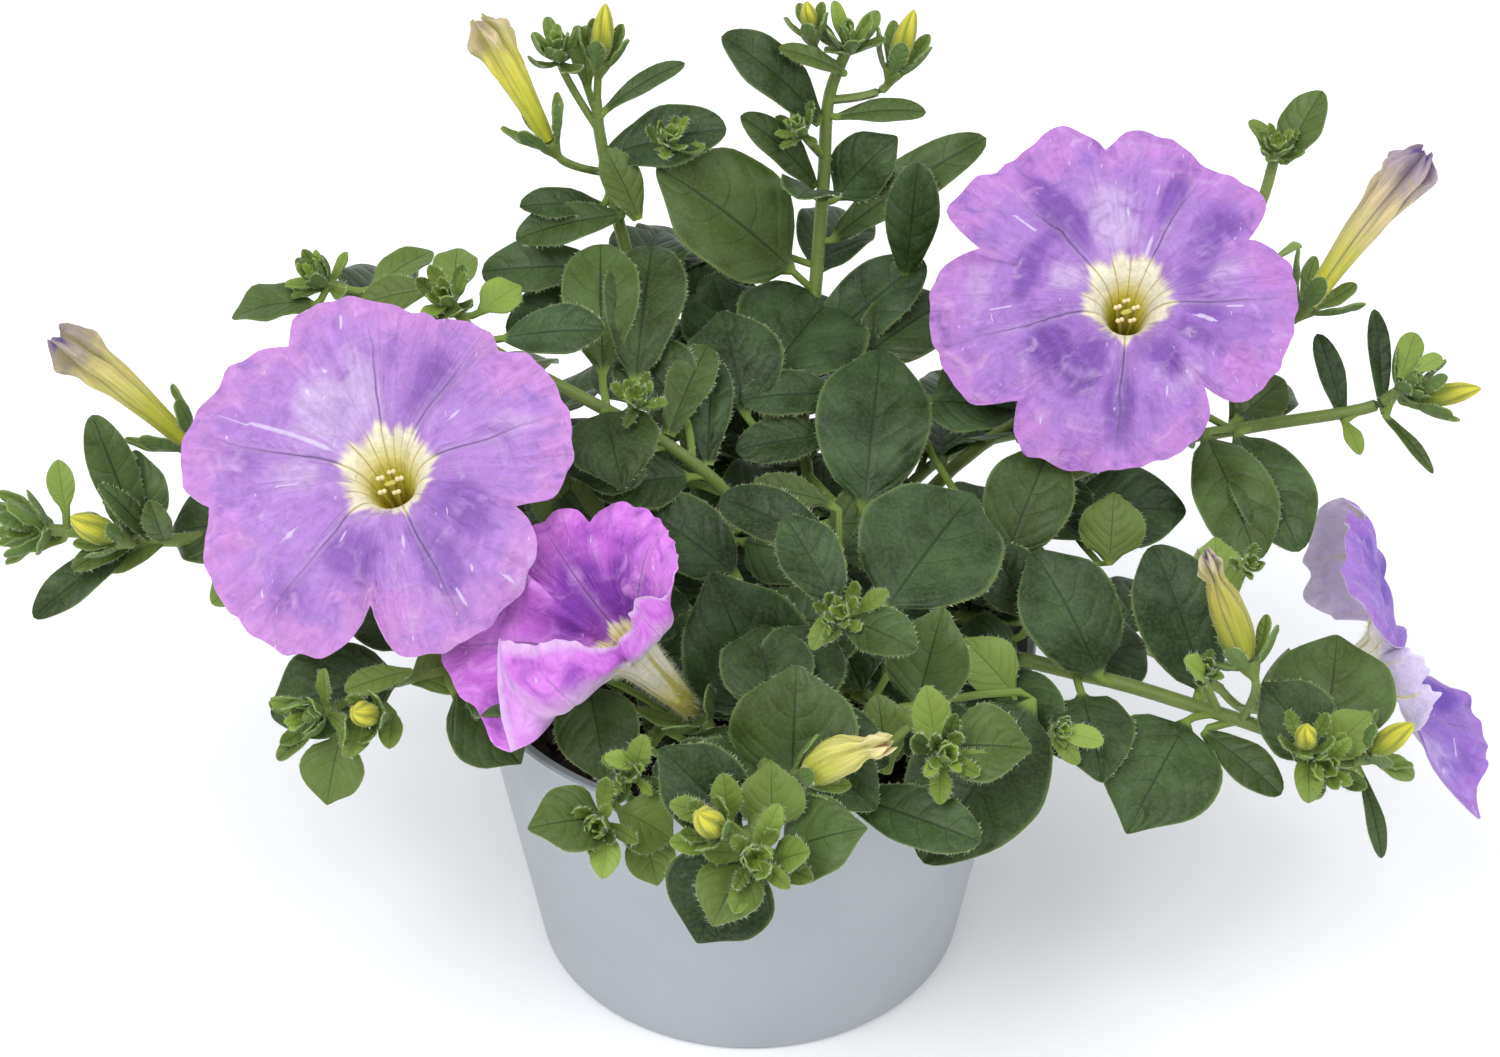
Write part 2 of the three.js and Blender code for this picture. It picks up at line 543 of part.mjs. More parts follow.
// One leaf: a stalk from the stem to the blade's foot, and the blade, arched along its length and
// folded up on both sides of its midrib. With stalkOnly it ends at the foot.
function leafSolid({ root, foot, tip, wide, face, fold }, extra, stalkOnly = false) {
  const axis = tip.clone().sub(foot);
  const long = axis.length();
  axis.normalize();
  const up = squareTo(axis, face);
  const side = new THREE.Vector3().crossVectors(up, axis);
  const stalk = foot.clone().sub(root);
  const stalked = stalk.length() > SHORT_STALK;
  const heading = stalked ? stalk.normalize() : axis;
  const bend = new THREE.Quaternion().setFromUnitVectors(axis, heading);
  const rowAt = (at, half, share) => {
    const turn = new THREE.Quaternion().slerp(bend, share);
    return { at, half, across: side.clone().applyQuaternion(turn), up: up.clone().applyQuaternion(turn) };
  };
  const rows = [rowAt(along(root, heading, -0.9), 0, 1)];
  if (stalked) rows.push(rowAt(foot, STALK_HALF + extra, 0.5));
  if (stalkOnly) {
    rows.push(rowAt(along(foot, axis, 1.5), 0, 0));
  } else {
    bladeForm(long, wide).forEach(([share, width]) => {
      const at = along(along(foot, axis, long * share), up, long * LEAF_ARCH * 4 * share * (1 - share));
      rows.push(rowAt(at, (wide / 2) * width + extra, 0));
    });
    rows.push(rowAt(along(tip, axis, extra), 0, 0));
  }
  const columns = wide < 14 ? 1 : 2;
  return sheet(columns, rows.length - 1, LEAF_THICK + 2 * extra, (column, k) => {
    const row = rows[k];
    const out = (2 * column) / columns - 1;
    const lift = columns === 2 ? Math.abs(out) * row.half * fold : 0;
    return { at: along(along(row.at, row.across, out * row.half), row.up, lift), up: row.up };
  });
}

// The young leaves at a growing tip, grown together at the foot: a dished sheet with five blunt lobes
function tuftSolid({ centre, heading, radius }, extra) {
  const origin = vec(centre);
  const axis = vec(heading).normalize();
  const first = squareTo(axis, new THREE.Vector3(0.3, 0.2, 1));
  const second = new THREE.Vector3().crossVectors(axis, first);
  const corners = radius < 7 ? [[0, 0.3], [0.5, 1]] : [[0, 0.3], [0.36, 1], [0.64, 1]];
  const columns = corners.length * 5;
  return sheet(columns, 1, LEAF_THICK + 2 * extra, (column, row) => {
    if (row === 0) return { at: origin, up: axis };
    const [share, reach] = corners[column % corners.length];
    const lobe = Math.floor((column % columns) / corners.length);
    const turn = (2 * Math.PI * (lobe + share)) / 5;
    const out = first.clone().multiplyScalar(Math.cos(turn)).addScaledVector(second, Math.sin(turn));
    const far = 1.15 * radius * reach + extra;
    const tilt = lobe % 2 ? 0.75 : 1.2;
    return { at: along(along(origin, out, far * Math.sin(tilt)), axis, far * Math.cos(tilt)), up: axis };
  });
}

// A flower's cup: a small dish whose rim runs out into five sepals
function cupSolid({ seat, heading, sepal, spread }, extra) {
  const axis = vec(heading).normalize();
  const origin = along(vec(seat), axis, -CUP_THICK / 2);
  const first = squareTo(axis, new THREE.Vector3(0.9, 0.1, 0.3));
  const second = new THREE.Vector3().crossVectors(axis, first);
  const tilt = THREE.MathUtils.degToRad(spread);
  return sheet(10, 2, CUP_THICK + 2 * extra, (column, row) => {
    if (row === 0) return { at: origin, up: axis };
    const turn = (2 * Math.PI * (column % 10)) / 10;
    const out = first.clone().multiplyScalar(Math.cos(turn)).addScaledVector(second, Math.sin(turn));
    const foot = along(origin, out, CUP_RADIUS);
    if (row === 1) return { at: foot, up: axis.clone().addScaledVector(out, -0.7).normalize() };
    const far = column % 2 ? sepal + extra : 1.2;
    const place = along(along(foot, out, far * Math.sin(tilt)), axis, far * Math.cos(tilt));
    return { at: place, up: axis.clone().multiplyScalar(Math.sin(tilt)).addScaledVector(out, -Math.cos(tilt)) };
  });
}

// Leafy stems

const stemCurve = (shoot) => new THREE.CatmullRomCurve3(shoot.path.map(vec), false, 'catmullrom', 0.5);

// The point of a stem's straight steps that is nearest to a place on its curve
function stemPoint(curve, at) {
  const wanted = curve.getPoint(at);
  const corners = curve.getSpacedPoints(STEM_STEPS);
  const nearest = corners.slice(1).map((corner, i) => (
    new THREE.Line3(corners[i], corner).closestPointToPoint(wanted, true, new THREE.Vector3())
  ));
  return nearest.reduce((best, point) => (point.distanceTo(wanted) < best.distanceTo(wanted) ? point : best));
}

// A thin stalk that leaves the stem and ends square to a tuft or a flower cup
function sideStalk(curve, { at, end, heading }, extra) {
  const start = stemPoint(curve, at);
  const bend = along(end, vec(heading).normalize(), -start.distanceTo(end) / 2);
  return rod(new THREE.QuadraticBezierCurve3(start, bend, end), FLOWER_STALK_RADIUS + extra, 2, 3);
}

const leavesOf = (shoot) => shoot.leaves.map(({ at, foot, tip, wide, fold }) => {
  const root = stemPoint(stemCurve(shoot), at);
  return { root, foot: foot ? vec(foot) : root, tip: vec(tip), wide, fold, face: vec(shoot.face) };
});

// What carries the leaves and flowers: the stem, the stalks of tufts and flowers, and the cups
function stemSolid(shoot, extra) {
  const curve = stemCurve(shoot);
  const solids = [rod(curve, shoot.thick + extra)];
  shoot.tufts.forEach(({ at, centre, heading }) => {
    if (curve.getPoint(at).distanceTo(vec(centre)) < 4) return;
    solids.push(sideStalk(curve, { at, end: vec(centre), heading }, extra));
  });
  shoot.cups.forEach((flower) => {
    const end = along(vec(flower.seat), vec(flower.heading).normalize(), -0.4 - extra);
    solids.push(sideStalk(curve, { at: flower.at, end, heading: flower.heading }, extra));
    solids.push(cupSolid(flower, extra));
  });
  return joined(solids);
}

// The stem with the stalks of its leaves
function skeletonSolid(shoot, extra) {
  const stalks = leavesOf(shoot).filter(({ root, foot }) => root.distanceTo(foot) > SHORT_STALK);
  return joined([stemSolid(shoot, extra), ...stalks.map((one) => leafSolid(one, extra, true))]);
}

function foliageSolid(shoot, extra) {
  const solids = leavesOf(shoot).map((one) => leafSolid(one, extra));
  shoot.tufts.forEach((young) => solids.push(tuftSolid(young, extra)));
  return joined(solids);
}

// Open flowers

const PETAL_STEPS = 4;

// How far the limb reaches, and how high its edge stands, at a share of the way through a lobe
function lobeEdge(flower, lobe, share) {
  const count = flower.notches.length;
  const [before, after] = [flower.notches[lobe], flower.notches[(lobe + 1) % count]];
  const [reach, lift] = flower.lobes[lobe];
  const last = flower.lobes[(lobe + count - 1) % count];
  const next = flower.lobes[(lobe + 1) % count];
  const swell = Math.sin(Math.PI * share);
  const turn = before[0] + ((after[0] - before[0] + 360) % 360) * share;
  const hem = mix((lift + last[1]) / 2, (lift + next[1]) / 2, share);
  return {
    turn: THREE.MathUtils.degToRad(turn),
    reach: mix(mix(before[1], after[1], share), reach, swell ** 0.6),
    lift: mix(hem, lift, swell),
  };
}

// A funnel on a narrow tube, whose limb spreads into rounded lobes
function corollaSolid(flower, extra) {
  const axis = vec(flower.heading).normalize();
  const first = squareTo(axis, vec(flower.right));
  const second = new THREE.Vector3().crossVectors(axis, first);
  const seat = along(vec(flower.seat), axis, GAP + PETAL_THICK / 2);
  const { tube, mouth } = flower;
  const limb = (edge, share) => [
    mix(mouth, edge.reach, share),
    tube + edge.lift * share ** 1.5 + 2.6 * Math.sin(Math.PI * Math.sqrt(share)),
  ];
  const rings = [
    { slope: 1, place: () => [0, 0] },
    { slope: 0.3, place: () => [1.7, 0] },
    { slope: 0.1, place: () => [2.4, tube * 0.5] },
    { slope: 0.7, place: () => [mouth, tube] },
    { slope: 1, place: (edge) => limb(edge, 0.42) },
    { slope: 1, place: (edge) => limb(edge, 1) },
  ];
  const columns = flower.notches.length * PETAL_STEPS;
  return sheet(columns, rings.length - 1, PETAL_THICK + 2 * extra, (column, row) => {
    const lobe = Math.floor((column % columns) / PETAL_STEPS);
    const edge = lobeEdge(flower, lobe, (column % PETAL_STEPS) / PETAL_STEPS);
    const out = first.clone().multiplyScalar(Math.cos(edge.turn)).addScaledVector(second, Math.sin(edge.turn));
    const { slope, place } = rings[row];
    const [reach, height] = place(edge);
    const at = along(along(seat, out, reach ? reach + (row === rings.length - 1 ? extra : 0) : 0), axis, height);
    const up = row === 0 ? axis.clone() : axis.clone().multiplyScalar(slope).addScaledVector(out, slope - 1);
    return { at, up: up.normalize() };
  });
}

// Five stamens round the style, from the floor of the tube to the throat
function stamensSolid(flower) {
  const axis = vec(flower.heading).normalize();
  const first = squareTo(axis, vec(flower.right));
  const second = new THREE.Vector3().crossVectors(axis, first);
  const floor = along(vec(flower.seat), axis, 2 * GAP + PETAL_THICK);
  const rodWithHead = (foot, tip, thin, wide) => {
    const long = foot.distanceTo(tip);
    const profile = [[0, 0], [thin, 0], [thin, long - 2.2], [wide, long - 1], [0, long]];
    return turned(profile, 3, foot, tip.clone().sub(foot).normalize());
  };
  const solids = [rodWithHead(floor, along(floor, axis, flower.tube - 3), 0.7, 1.1)];
  for (let i = 0; i < 5; i += 1) {
    const turn = (2 * Math.PI * i) / 5;
    const out = first.clone().multiplyScalar(Math.cos(turn)).addScaledVector(second, Math.sin(turn));
    const foot = along(along(floor, axis, 2), out, 0.3);
    const tip = along(along(floor, axis, flower.tube - 5 - (i % 2)), out, 2.3);
    solids.push(rodWithHead(foot, tip, 0.4, 0.9));
  }
  return joined(solids);
}

// Spent flowers and buds: closed shapes on the line from seat to tip

function onAxis({ seat, tip }) {
  const heading = vec(tip).sub(vec(seat));
  const long = heading.length();
  return { origin: vec(seat), heading: heading.normalize(), long };
}

function spentSolid(flower, extra) {
  const { origin, heading, long } = onAxis(flower);
  const r = flower.radius;
  const profile = [
    [0, GAP - extra], [1.7 + extra, GAP - extra], [2.2 + extra, long * 0.22], [r * 0.8 + extra, long * 0.5],
    [r + extra, long * 0.78], [r * 0.75 + extra, long * 0.95], [0, long + extra],
  ];
  return turned(profile, 6, origin, heading);
}

function budSolid(bud, extra) {
  const { origin, heading, long } = onAxis(bud);
  const r = bud.radius;
  const profile = [
    [0, GAP - extra], [r * 0.6 + extra, GAP - extra], [r + extra, long * 0.45], [r * 0.7 + extra, long * 0.82],
    [0, long + extra],
  ];
  return turned(profile, 6, origin, heading);
}

// Pot and soil

function potSolid() {
  const slope = (POT_RIM_RADIUS - POT_FOOT_RADIUS) / POT_HEIGHT;
  const radiusAt = (z) => POT_FOOT_RADIUS + slope * z;
  const lipFoot = POT_HEIGHT - LIP_HEIGHT;
  const profile = [
    [0, 0], [radiusAt(0) - 1, 0], [radiusAt(1), 1], [radiusAt(lipFoot), lipFoot],
    [radiusAt(lipFoot) + LIP_WIDTH, lipFoot + 0.6], [radiusAt(POT_HEIGHT) + LIP_WIDTH, POT_HEIGHT - 0.4],
    [radiusAt(POT_HEIGHT), POT_HEIGHT], [radiusAt(POT_HEIGHT) - POT_WALL, POT_HEIGHT],
    [radiusAt(POT_FLOOR) - POT_WALL, POT_FLOOR], [0, POT_FLOOR],
  ];
  const body = turned(profile, POT_SIDES, new THREE.Vector3(), new THREE.Vector3(0, 0, 1));
  const holes = [];
  for (let i = 0; i < DRAIN_HOLES; i += 1) {
    const turn = (2 * Math.PI * i) / DRAIN_HOLES;
    const centre = new THREE.Vector3(DRAIN_RING * Math.cos(turn), DRAIN_RING * Math.sin(turn), -1);
    holes.push(rod(new THREE.LineCurve3(centre, along(centre, new THREE.Vector3(0, 0, 1), 5)), DRAIN_RADIUS, 1, 8));
  }
  return body.subtract(joined(holes));
}

function soilSolid() {
  const slope = (POT_RIM_RADIUS - POT_FOOT_RADIUS) / POT_HEIGHT;
  const radiusAt = (z) => POT_FOOT_RADIUS + slope * z - POT_WALL - GAP - 0.2;
  const floor = POT_FLOOR + GAP;
  const profile = [
    [0, floor], [radiusAt(floor), floor], [radiusAt(SOIL_TOP), SOIL_TOP], [radiusAt(SOIL_TOP) * 0.6, SOIL_TOP + 1],
    [0, SOIL_CROWN],
  ];
  return turned(profile, SOIL_SIDES, new THREE.Vector3(), new THREE.Vector3(0, 0, 1));
}

// Putting it together

const part = new THREE.Group();

function addNode(name, solid, material) {
  const { vertProperties, triVerts, numProp } = solid.getMesh();
  const geometry = new THREE.BufferGeometry();
  const places = new Float32Array((vertProperties.length / numProp) * 3);
  for (let i = 0; i < places.length / 3; i += 1) {
    for (let k = 0; k < 3; k += 1) places[3 * i + k] = vertProperties[numProp * i + k];
  }
  geometry.setAttribute('position', new THREE.BufferAttribute(places, 3));
  geometry.setIndex(Array.from(triVerts));
  const mesh = new THREE.Mesh(geometry, material);
  mesh.name = name;
  part.add(mesh);
}

const pot = potSolid();
addNode('pot', pot, MATERIALS.pot);

const blooms = [];
OPEN_FLOWERS.forEach((flower) => {
  const colour = flower.name === 'half_open' ? MATERIALS.magenta : MATERIALS.petal;
  addNode(`corolla_${flower.name}`, corollaSolid(flower, 0), colour);
  addNode(`stamens_${flower.name}`, stamensSolid(flower), MATERIALS.stamen);
  blooms.push(corollaSolid(flower, GAP));
});
SPENT_FLOWERS.forEach((flower) => {
  addNode(`spent_flower_${flower.name}`, spentSolid(flower, 0), MATERIALS.spent);
  blooms.push(spentSolid(flower, GAP));
});
BUDS.forEach((bud) => {
  addNode(`bud_${bud.name}`, budSolid(bud, 0), MATERIALS.bud);
  blooms.push(budSolid(bud, GAP));
});

// Stems stay whole. A blade gives way to the pot, the flowers, the stems and leaf stalks of other
// shoots, and the blades before it.
const stems = SHOOTS.map((shoot) => stemSolid(shoot, 0));
const stemRooms = SHOOTS.map((shoot) => stemSolid(shoot, GAP));
const skeletonRooms = SHOOTS.map((shoot) => skeletonSolid(shoot, GAP));
const bladeRooms = [];
SHOOTS.forEach((shoot, k) => {
  const others = skeletonRooms.filter((_, i) => i !== k);
  const blades = cutBy(foliageSolid(shoot, 0), [pot, ...blooms, ...others, ...bladeRooms]);
  addNode(shoot.name, largestOf(stems[k].add(blades)), MATERIALS.foliage);
  bladeRooms.push(cutBy(foliageSolid(shoot, GAP), others));
});

addNode('soil', cutBy(soilSolid(), stemRooms), MATERIALS.soil);

export default part;
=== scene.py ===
"""A petunia in full flower in its plastic nursery pot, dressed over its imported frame.

Metres in Blender, +Z up, origin at the centre of the pot's underside, -Y towards the viewer.
The tables below are in millimetres and degrees.
"""

import logging
import math
from collections.abc import Callable
from dataclasses import dataclass, field, replace
from enum import Enum
from functools import partial

import bmesh
import bpy
import numpy as np
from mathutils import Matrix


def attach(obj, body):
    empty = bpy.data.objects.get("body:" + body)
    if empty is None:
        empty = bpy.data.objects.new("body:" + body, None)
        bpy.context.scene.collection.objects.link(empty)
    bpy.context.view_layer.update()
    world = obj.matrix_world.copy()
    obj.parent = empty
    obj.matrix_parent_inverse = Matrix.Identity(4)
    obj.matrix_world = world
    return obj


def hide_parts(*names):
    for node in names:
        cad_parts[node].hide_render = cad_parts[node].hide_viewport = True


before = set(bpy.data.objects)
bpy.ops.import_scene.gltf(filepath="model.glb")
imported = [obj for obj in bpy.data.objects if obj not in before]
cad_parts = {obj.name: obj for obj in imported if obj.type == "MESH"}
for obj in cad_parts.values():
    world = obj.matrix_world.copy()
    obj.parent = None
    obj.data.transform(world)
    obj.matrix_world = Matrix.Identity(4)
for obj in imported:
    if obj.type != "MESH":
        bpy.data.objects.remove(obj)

LOG = logging.getLogger("petunia")
# A millimetre in metres, and the radius of a hair's foot in millimetres
MM = 0.001
HAIR_RADIUS = 0.034
Array = np.ndarray
Chance = np.random.Generator
Material = bpy.types.Material
Socket = bpy.types.NodeSocket
Point = tuple[float, float, float]


class Facing(Enum):
    """The side that a shoot turns the faces of its leaves to."""

    VIEWER = (0, -0.5, 0.87)
    UP = (0, 0, 1)
    AWAY = (0, 0.35, 0.94)


class Outline(Enum):
    """The outline of a blade: a leaf's, broadest near its middle, or a tongue's, broadest near its end."""

    OVATE = 0
    TONGUE = 1


class Crowd(Enum):
    """How finely a blade is divided, by columns and rows."""

    BROAD = (10, 22)
    MIDDLE = (8, 16)
    SMALL = (6, 12)


# Directions and curves


def unit(vectors: Array) -> Array:
    """Scale vectors to a length of one."""
    vectors = np.asarray(vectors, float)
    return vectors / np.maximum(np.linalg.norm(vectors, axis=-1, keepdims=True), 1e-9)


def square_to(axis: Array, way: Array) -> Array:
    """Give the part of a direction that stands square to an axis, at a length of one."""
    axis, way = np.asarray(axis, float), np.asarray(way, float)
    return unit(way - (way * axis).sum(-1, keepdims=True) * axis)


def turned(vector: Array, start: Array, ends: Array) -> Array:
    """Turn a vector as the shortest turn from one direction to others does.

    Args:
        vector: The vector to turn.
        start: The unit direction that the turn starts from.
        ends: The unit directions that it ends in, one a row.

    Returns:
        The turned vector, one a row.
    """
    axis = np.cross(start, ends)
    whole = 1 + (start * ends).sum(-1, keepdims=True)
    once = np.cross(axis, np.broadcast_to(vector, axis.shape))
    return vector + once + np.cross(axis, once) / np.maximum(whole, 1e-3)


def step(low: float, high: float, value: Array) -> Array:
    """Rise smoothly from 0 at low to 1 at high."""
    share = np.clip((np.asarray(value, float) - low) / (high - low), 0, 1)
    return share * share * (3 - 2 * share)


def eased(t: Array, start: Array, end: Array, lean: Array, next_lean: Array) -> Array:
    """Go smoothly from a start to an end.

    Args:
        t: Shares of the way, from 0 to 1.
        start: The start.
        end: The end.
        lean: The slope at the start.
        next_lean: The slope at the end.

    Returns:
        The values at the shares.
    """
    rise = (2 * t**3 - 3 * t**2 + 1) * start + (3 * t**2 - 2 * t**3) * end
    return rise + (t**3 - 2 * t**2 + t) * lean + (t**3 - t**2) * next_lean


def rounded(value: Array, knots: Array, heights: Array) -> Array:
    """Draw a smooth curve through knots.

    Args:
        value: Where the curve is read.
        knots: The rising places of the knots.
        heights: The curve's height at each knot, or a column of them for each place where it is read.

    Returns:
        The curve's heights.
    """
    knots, heights = np.asarray(knots, float), np.asarray(heights, float)
    slopes = np.gradient(heights, knots, axis=0)
    k = np.clip(np.searchsorted(knots, value, "right") - 1, 0, len(knots) - 2)
    wide = knots[k + 1] - knots[k]
    t = (value - knots[k]) / wide
    own = (np.arange(len(k)),) if heights.ndim == 2 else ()
    start, end = heights[(k, *own)], heights[(k + 1, *own)]
    lean, next_lean = slopes[(k, *own)], slopes[(k + 1, *own)]
    return eased(t, start, end, wide * lean, wide * next_lean)


@dataclass(frozen=True)
class Route:
    """A smooth curve through points, as a stem runs."""

    points: Array

    def at(self, share: Array) -> Array:
        """Give the places at shares of the way along the curve.

        Args:
            share: Shares from 0 to 1.

        Returns:
            One place a row.
        """
        p = np.asarray(self.points, float)
        p = np.vstack([2 * p[0] - p[1], p, 2 * p[-1] - p[-2]])
        whole = np.clip(np.atleast_1d(share), 0, 1) * (len(p) - 3)
        k = np.minimum(whole.astype(int), len(p) - 4)
        t = (whole - k)[:, None]
        lean, next_lean = 0.5 * (p[k + 2] - p[k]), 0.5 * (p[k + 3] - p[k + 1])
        return eased(t, p[k + 1], p[k + 2], lean, next_lean)

    def way(self, share: Array) -> Array:
        """Give the curve's directions at shares of the way along it."""
        share = np.atleast_1d(share)
        return unit(self.at(np.minimum(share + 0.01, 1)) - self.at(np.maximum(share - 0.01, 0)))


# Small meshes whose copies are bent into place


@dataclass(frozen=True)
class Pattern:
    """A small mesh made once with bmesh operators, for copies that are bent into place."""

    places: Array
    corners: Array
    counts: Array

    @classmethod
    def of(cls, bm: bmesh.types.BMesh) -> "Pattern":
        """Read a bmesh and free it.

        Args:
            bm: The bmesh.

        Returns:
            The pattern.
        """
        bmesh.ops.recalc_face_normals(bm, faces=bm.faces)
        bm.verts.index_update()
        places = np.array([v.co[:] for v in bm.verts])
        corners = np.array([v.index for f in bm.faces for v in f.verts])
        counts = np.array([len(f.verts) for f in bm.faces])
        bm.free()
        return cls(places, corners, counts)

    @classmethod
    def sheet(cls, columns: int, rows: int) -> "Pattern":
        """Make a closed sheet: x from -1 to 1 across, y from 0 to 1 along, z from 0 to 1 through.

        Args:
            columns: Faces across.
            rows: Faces along.

        Returns:
            The sheet.
        """
        bm = bmesh.new()
        bmesh.ops.create_grid(bm, x_segments=columns, y_segments=rows, size=1)
        bmesh.ops.translate(bm, vec=(0, 1, 0), verts=bm.verts)
        bmesh.ops.scale(bm, vec=(1, 0.5, 1), verts=bm.verts)
        lifted = bmesh.ops.extrude_face_region(bm, geom=bm.faces[:])["geom"]
        top = [item for item in lifted if isinstance(item, bmesh.types.BMVert)]
        bmesh.ops.translate(bm, vec=(0, 0, 1), verts=top)
        return cls.of(bm)

    @classmethod
    def tube(cls, sides: int, rows: int, walled: bool = False) -> "Pattern":
        """Make a round tube: radius 1, z from 0 to 1 along it.

        Args:
            sides: Faces around.
            rows: Faces along.
            walled: Whether the tube is open and has an inner wall at half the radius.

        Returns:
            The tube.
        """
        bm = bmesh.new()
        bmesh.ops.create_cone(bm, cap_ends=not walled, segments=sides, radius1=1, radius2=1, depth=1)
        upright = [e for e in bm.edges if abs(e.verts[0].co.z - e.verts[1].co.z) > 0.5]
        if rows > 1:
            bmesh.ops.subdivide_edges(bm, edges=upright, cuts=rows - 1)
        bmesh.ops.translate(bm, vec=(0, 0, 0.5), verts=bm.verts)
        if walled:
            bmesh.ops.solidify(bm, geom=bm.faces[:], thickness=0.5)
        return cls.of(bm)

    @classmethod
    def spike(cls) -> "Pattern":
        """Make a hair of four faces, with a foot of radius 1 at z 0 and its point at z 1.

        Returns:
            The hair.
        """
        bm = bmesh.new()
        bmesh.ops.create_cone(bm, cap_ends=True, segments=3, radius1=1, radius2=0, depth=1)
        bmesh.ops.translate(bm, vec=(0, 0, 0.5), verts=bm.verts)
        return cls.of(bm)

    @classmethod
    def ball(cls, fineness: int) -> "Pattern":
        """Make a ball of radius 1.

        Args:
            fineness: How often its faces are divided.

        Returns:
            The ball.
        """
        bm = bmesh.new()
        bmesh.ops.create_icosphere(bm, subdivisions=fineness, radius=1)
        return cls.of(bm)


SHEETS = {crowd: Pattern.sheet(*crowd.value) for crowd in Crowd}
STEM_TUBE = Pattern.tube(8, 28)
THIN_TUBE = Pattern.tube(6, 10)
POD_TUBE = Pattern.tube(30, 30)
SPIKE = Pattern.spike()
BALL = Pattern.ball(2)
CLOD = Pattern.ball(1)


# The marks, tints and, cut to two, maps of what needs none
PLAIN = (0, 0, 0, 0)


class Growth:
    """Bent copies of patterns, gathered into one piece."""

    def __init__(self) -> None:
        """Start empty."""
        self.places, self.corners, self.counts = [], [], []
        self.slots, self.marks, self.maps, self.tints = [], [], [], []
        self.total = 0

    def add(
        self, pattern: Pattern, places: Array, slot: int = 0, marks: Array | Point = PLAIN,
        maps: Array | Point = PLAIN[:2], tints: Array | Point = PLAIN,
    ) -> None:
        """Add one or more copies of a pattern.

        Args:
            pattern: The pattern that is copied.
            places: Where its corners go, in millimetres, one copy after another.
            slot: The finish of the copies.
            marks: Four numbers for each corner point, or four for all of them.
            maps: Two numbers for each corner point, for each face corner, or for all of them.
            tints: Four more numbers for each corner point, or four for all of them.
        """
        places = places.reshape(-1, 3)
        copies = len(places) // len(pattern.places)
        first = self.total + len(pattern.places) * np.arange(copies)[:, None]
        corners = (pattern.corners[None, :] + first).ravel()
        maps = np.asarray(maps, float)
        if maps.ndim == 1:
            maps = np.broadcast_to(maps, (len(corners), 2))
        elif len(maps) == len(places):
            maps = maps[corners - self.total]
        self.places.append(places)
        self.corners.append(corners)
        self.counts.append(np.tile(pattern.counts, copies))
        self.slots.append(np.full(len(pattern.counts) * copies, slot))
        self.marks.append(np.broadcast_to(np.asarray(marks, float), (len(places), 4)))
        self.tints.append(np.broadcast_to(np.asarray(tints, float), (len(places), 4)))
        self.maps.append(maps)
        self.total += len(places)

    def hairs(self, feet: Array, ways: Array, lengths: Array, slot: int) -> None:
        """Add fine hairs. A real hair is half as thick, and this is as fine as the render shows.

        Args:
            feet: Where the hairs stand, in millimetres, one a row.
            ways: Their directions, one a row.
            lengths: Their lengths in millimetres.
            slot: Their finish.
        """
        ways = unit(ways)
        side = square_to(ways, np.where(np.abs(ways[:, 2:]) > 0.8, (1.0, 0, 0), (0, 0, 1.0)))
        over = np.cross(ways, side)
        x, y, z = (SPIKE.places[:, k][None, :, None] for k in range(3))
        rise = ways[:, None] * z * np.asarray(lengths)[:, None, None]
        places = feet[:, None] + HAIR_RADIUS * (side[:, None] * x + over[:, None] * y) + rise
        self.add(SPIKE, places, slot)

    def piece(self, name: str, finishes: list[Material], crease: float = 60) -> bpy.types.Object:
        """Turn the copies into one object.

        Args:
            name: The object's name.
            finishes: Its materials, in the order of the slots.
            crease: Faces that meet at a sharper angle than this stay creased, in degrees.

        Returns:
            The object, which sits at the origin.
        """
        mesh = bpy.data.meshes.new(name)
        corners, counts = np.concatenate(self.corners), np.concatenate(self.counts)
        mesh.vertices.add(self.total)
        mesh.vertices.foreach_set("co", (np.concatenate(self.places) * MM).ravel().astype(np.float32))
        mesh.loops.add(len(corners))
        mesh.loops.foreach_set("vertex_index", corners.astype(np.int32))
        mesh.polygons.add(len(counts))
        starts = np.concatenate([[0], np.cumsum(counts)[:-1]])
        mesh.polygons.foreach_set("loop_start", starts.astype(np.int32))
        mesh.polygons.foreach_set("material_index", np.concatenate(self.slots).astype(np.int32))
        mesh.update(calc_edges=True)
        for layer_name, rows in (("marks", self.marks), ("tints", self.tints)):
            layer = mesh.attributes.new(layer_name, "FLOAT_COLOR", "POINT")
            layer.data.foreach_set("color", np.concatenate(rows).ravel().astype(np.float32))
        layer = mesh.uv_layers.new(name="UVMap")
        layer.uv.foreach_set("vector", np.concatenate(self.maps).ravel().astype(np.float32))
        for finish in finishes:
            mesh.materials.append(finish)
        mesh.shade_smooth()
        mesh.set_sharp_from_angle(angle=math.radians(crease))
        made = bpy.data.objects.new(name, mesh)
        bpy.context.scene.collection.objects.link(made)
        return made


def solid(bm: bmesh.types.BMesh, name: str) -> bpy.types.Object:
    """Turn a bmesh into an object at the origin, and free it.

    Args:
        bm: The bmesh.
        name: The object's name.

    Returns:
        The object.
    """
    made = bpy.data.objects.new(name, bpy.data.meshes.new(name))
    bm.to_mesh(made.data)
    bm.free()
    bpy.context.scene.collection.objects.link(made)
    return made


def fit(made: bpy.types.Object, node: str) -> None:
    """Hang a piece on the frame in the place of a CAD node, and report it.

    Args:
        made: The piece.
        node: The CAD node.
    """
    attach(made, "root")
    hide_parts(node)
    LOG.info("%s stands for %s with %d faces", made.name, node, len(made.data.polygons))


# Finishes


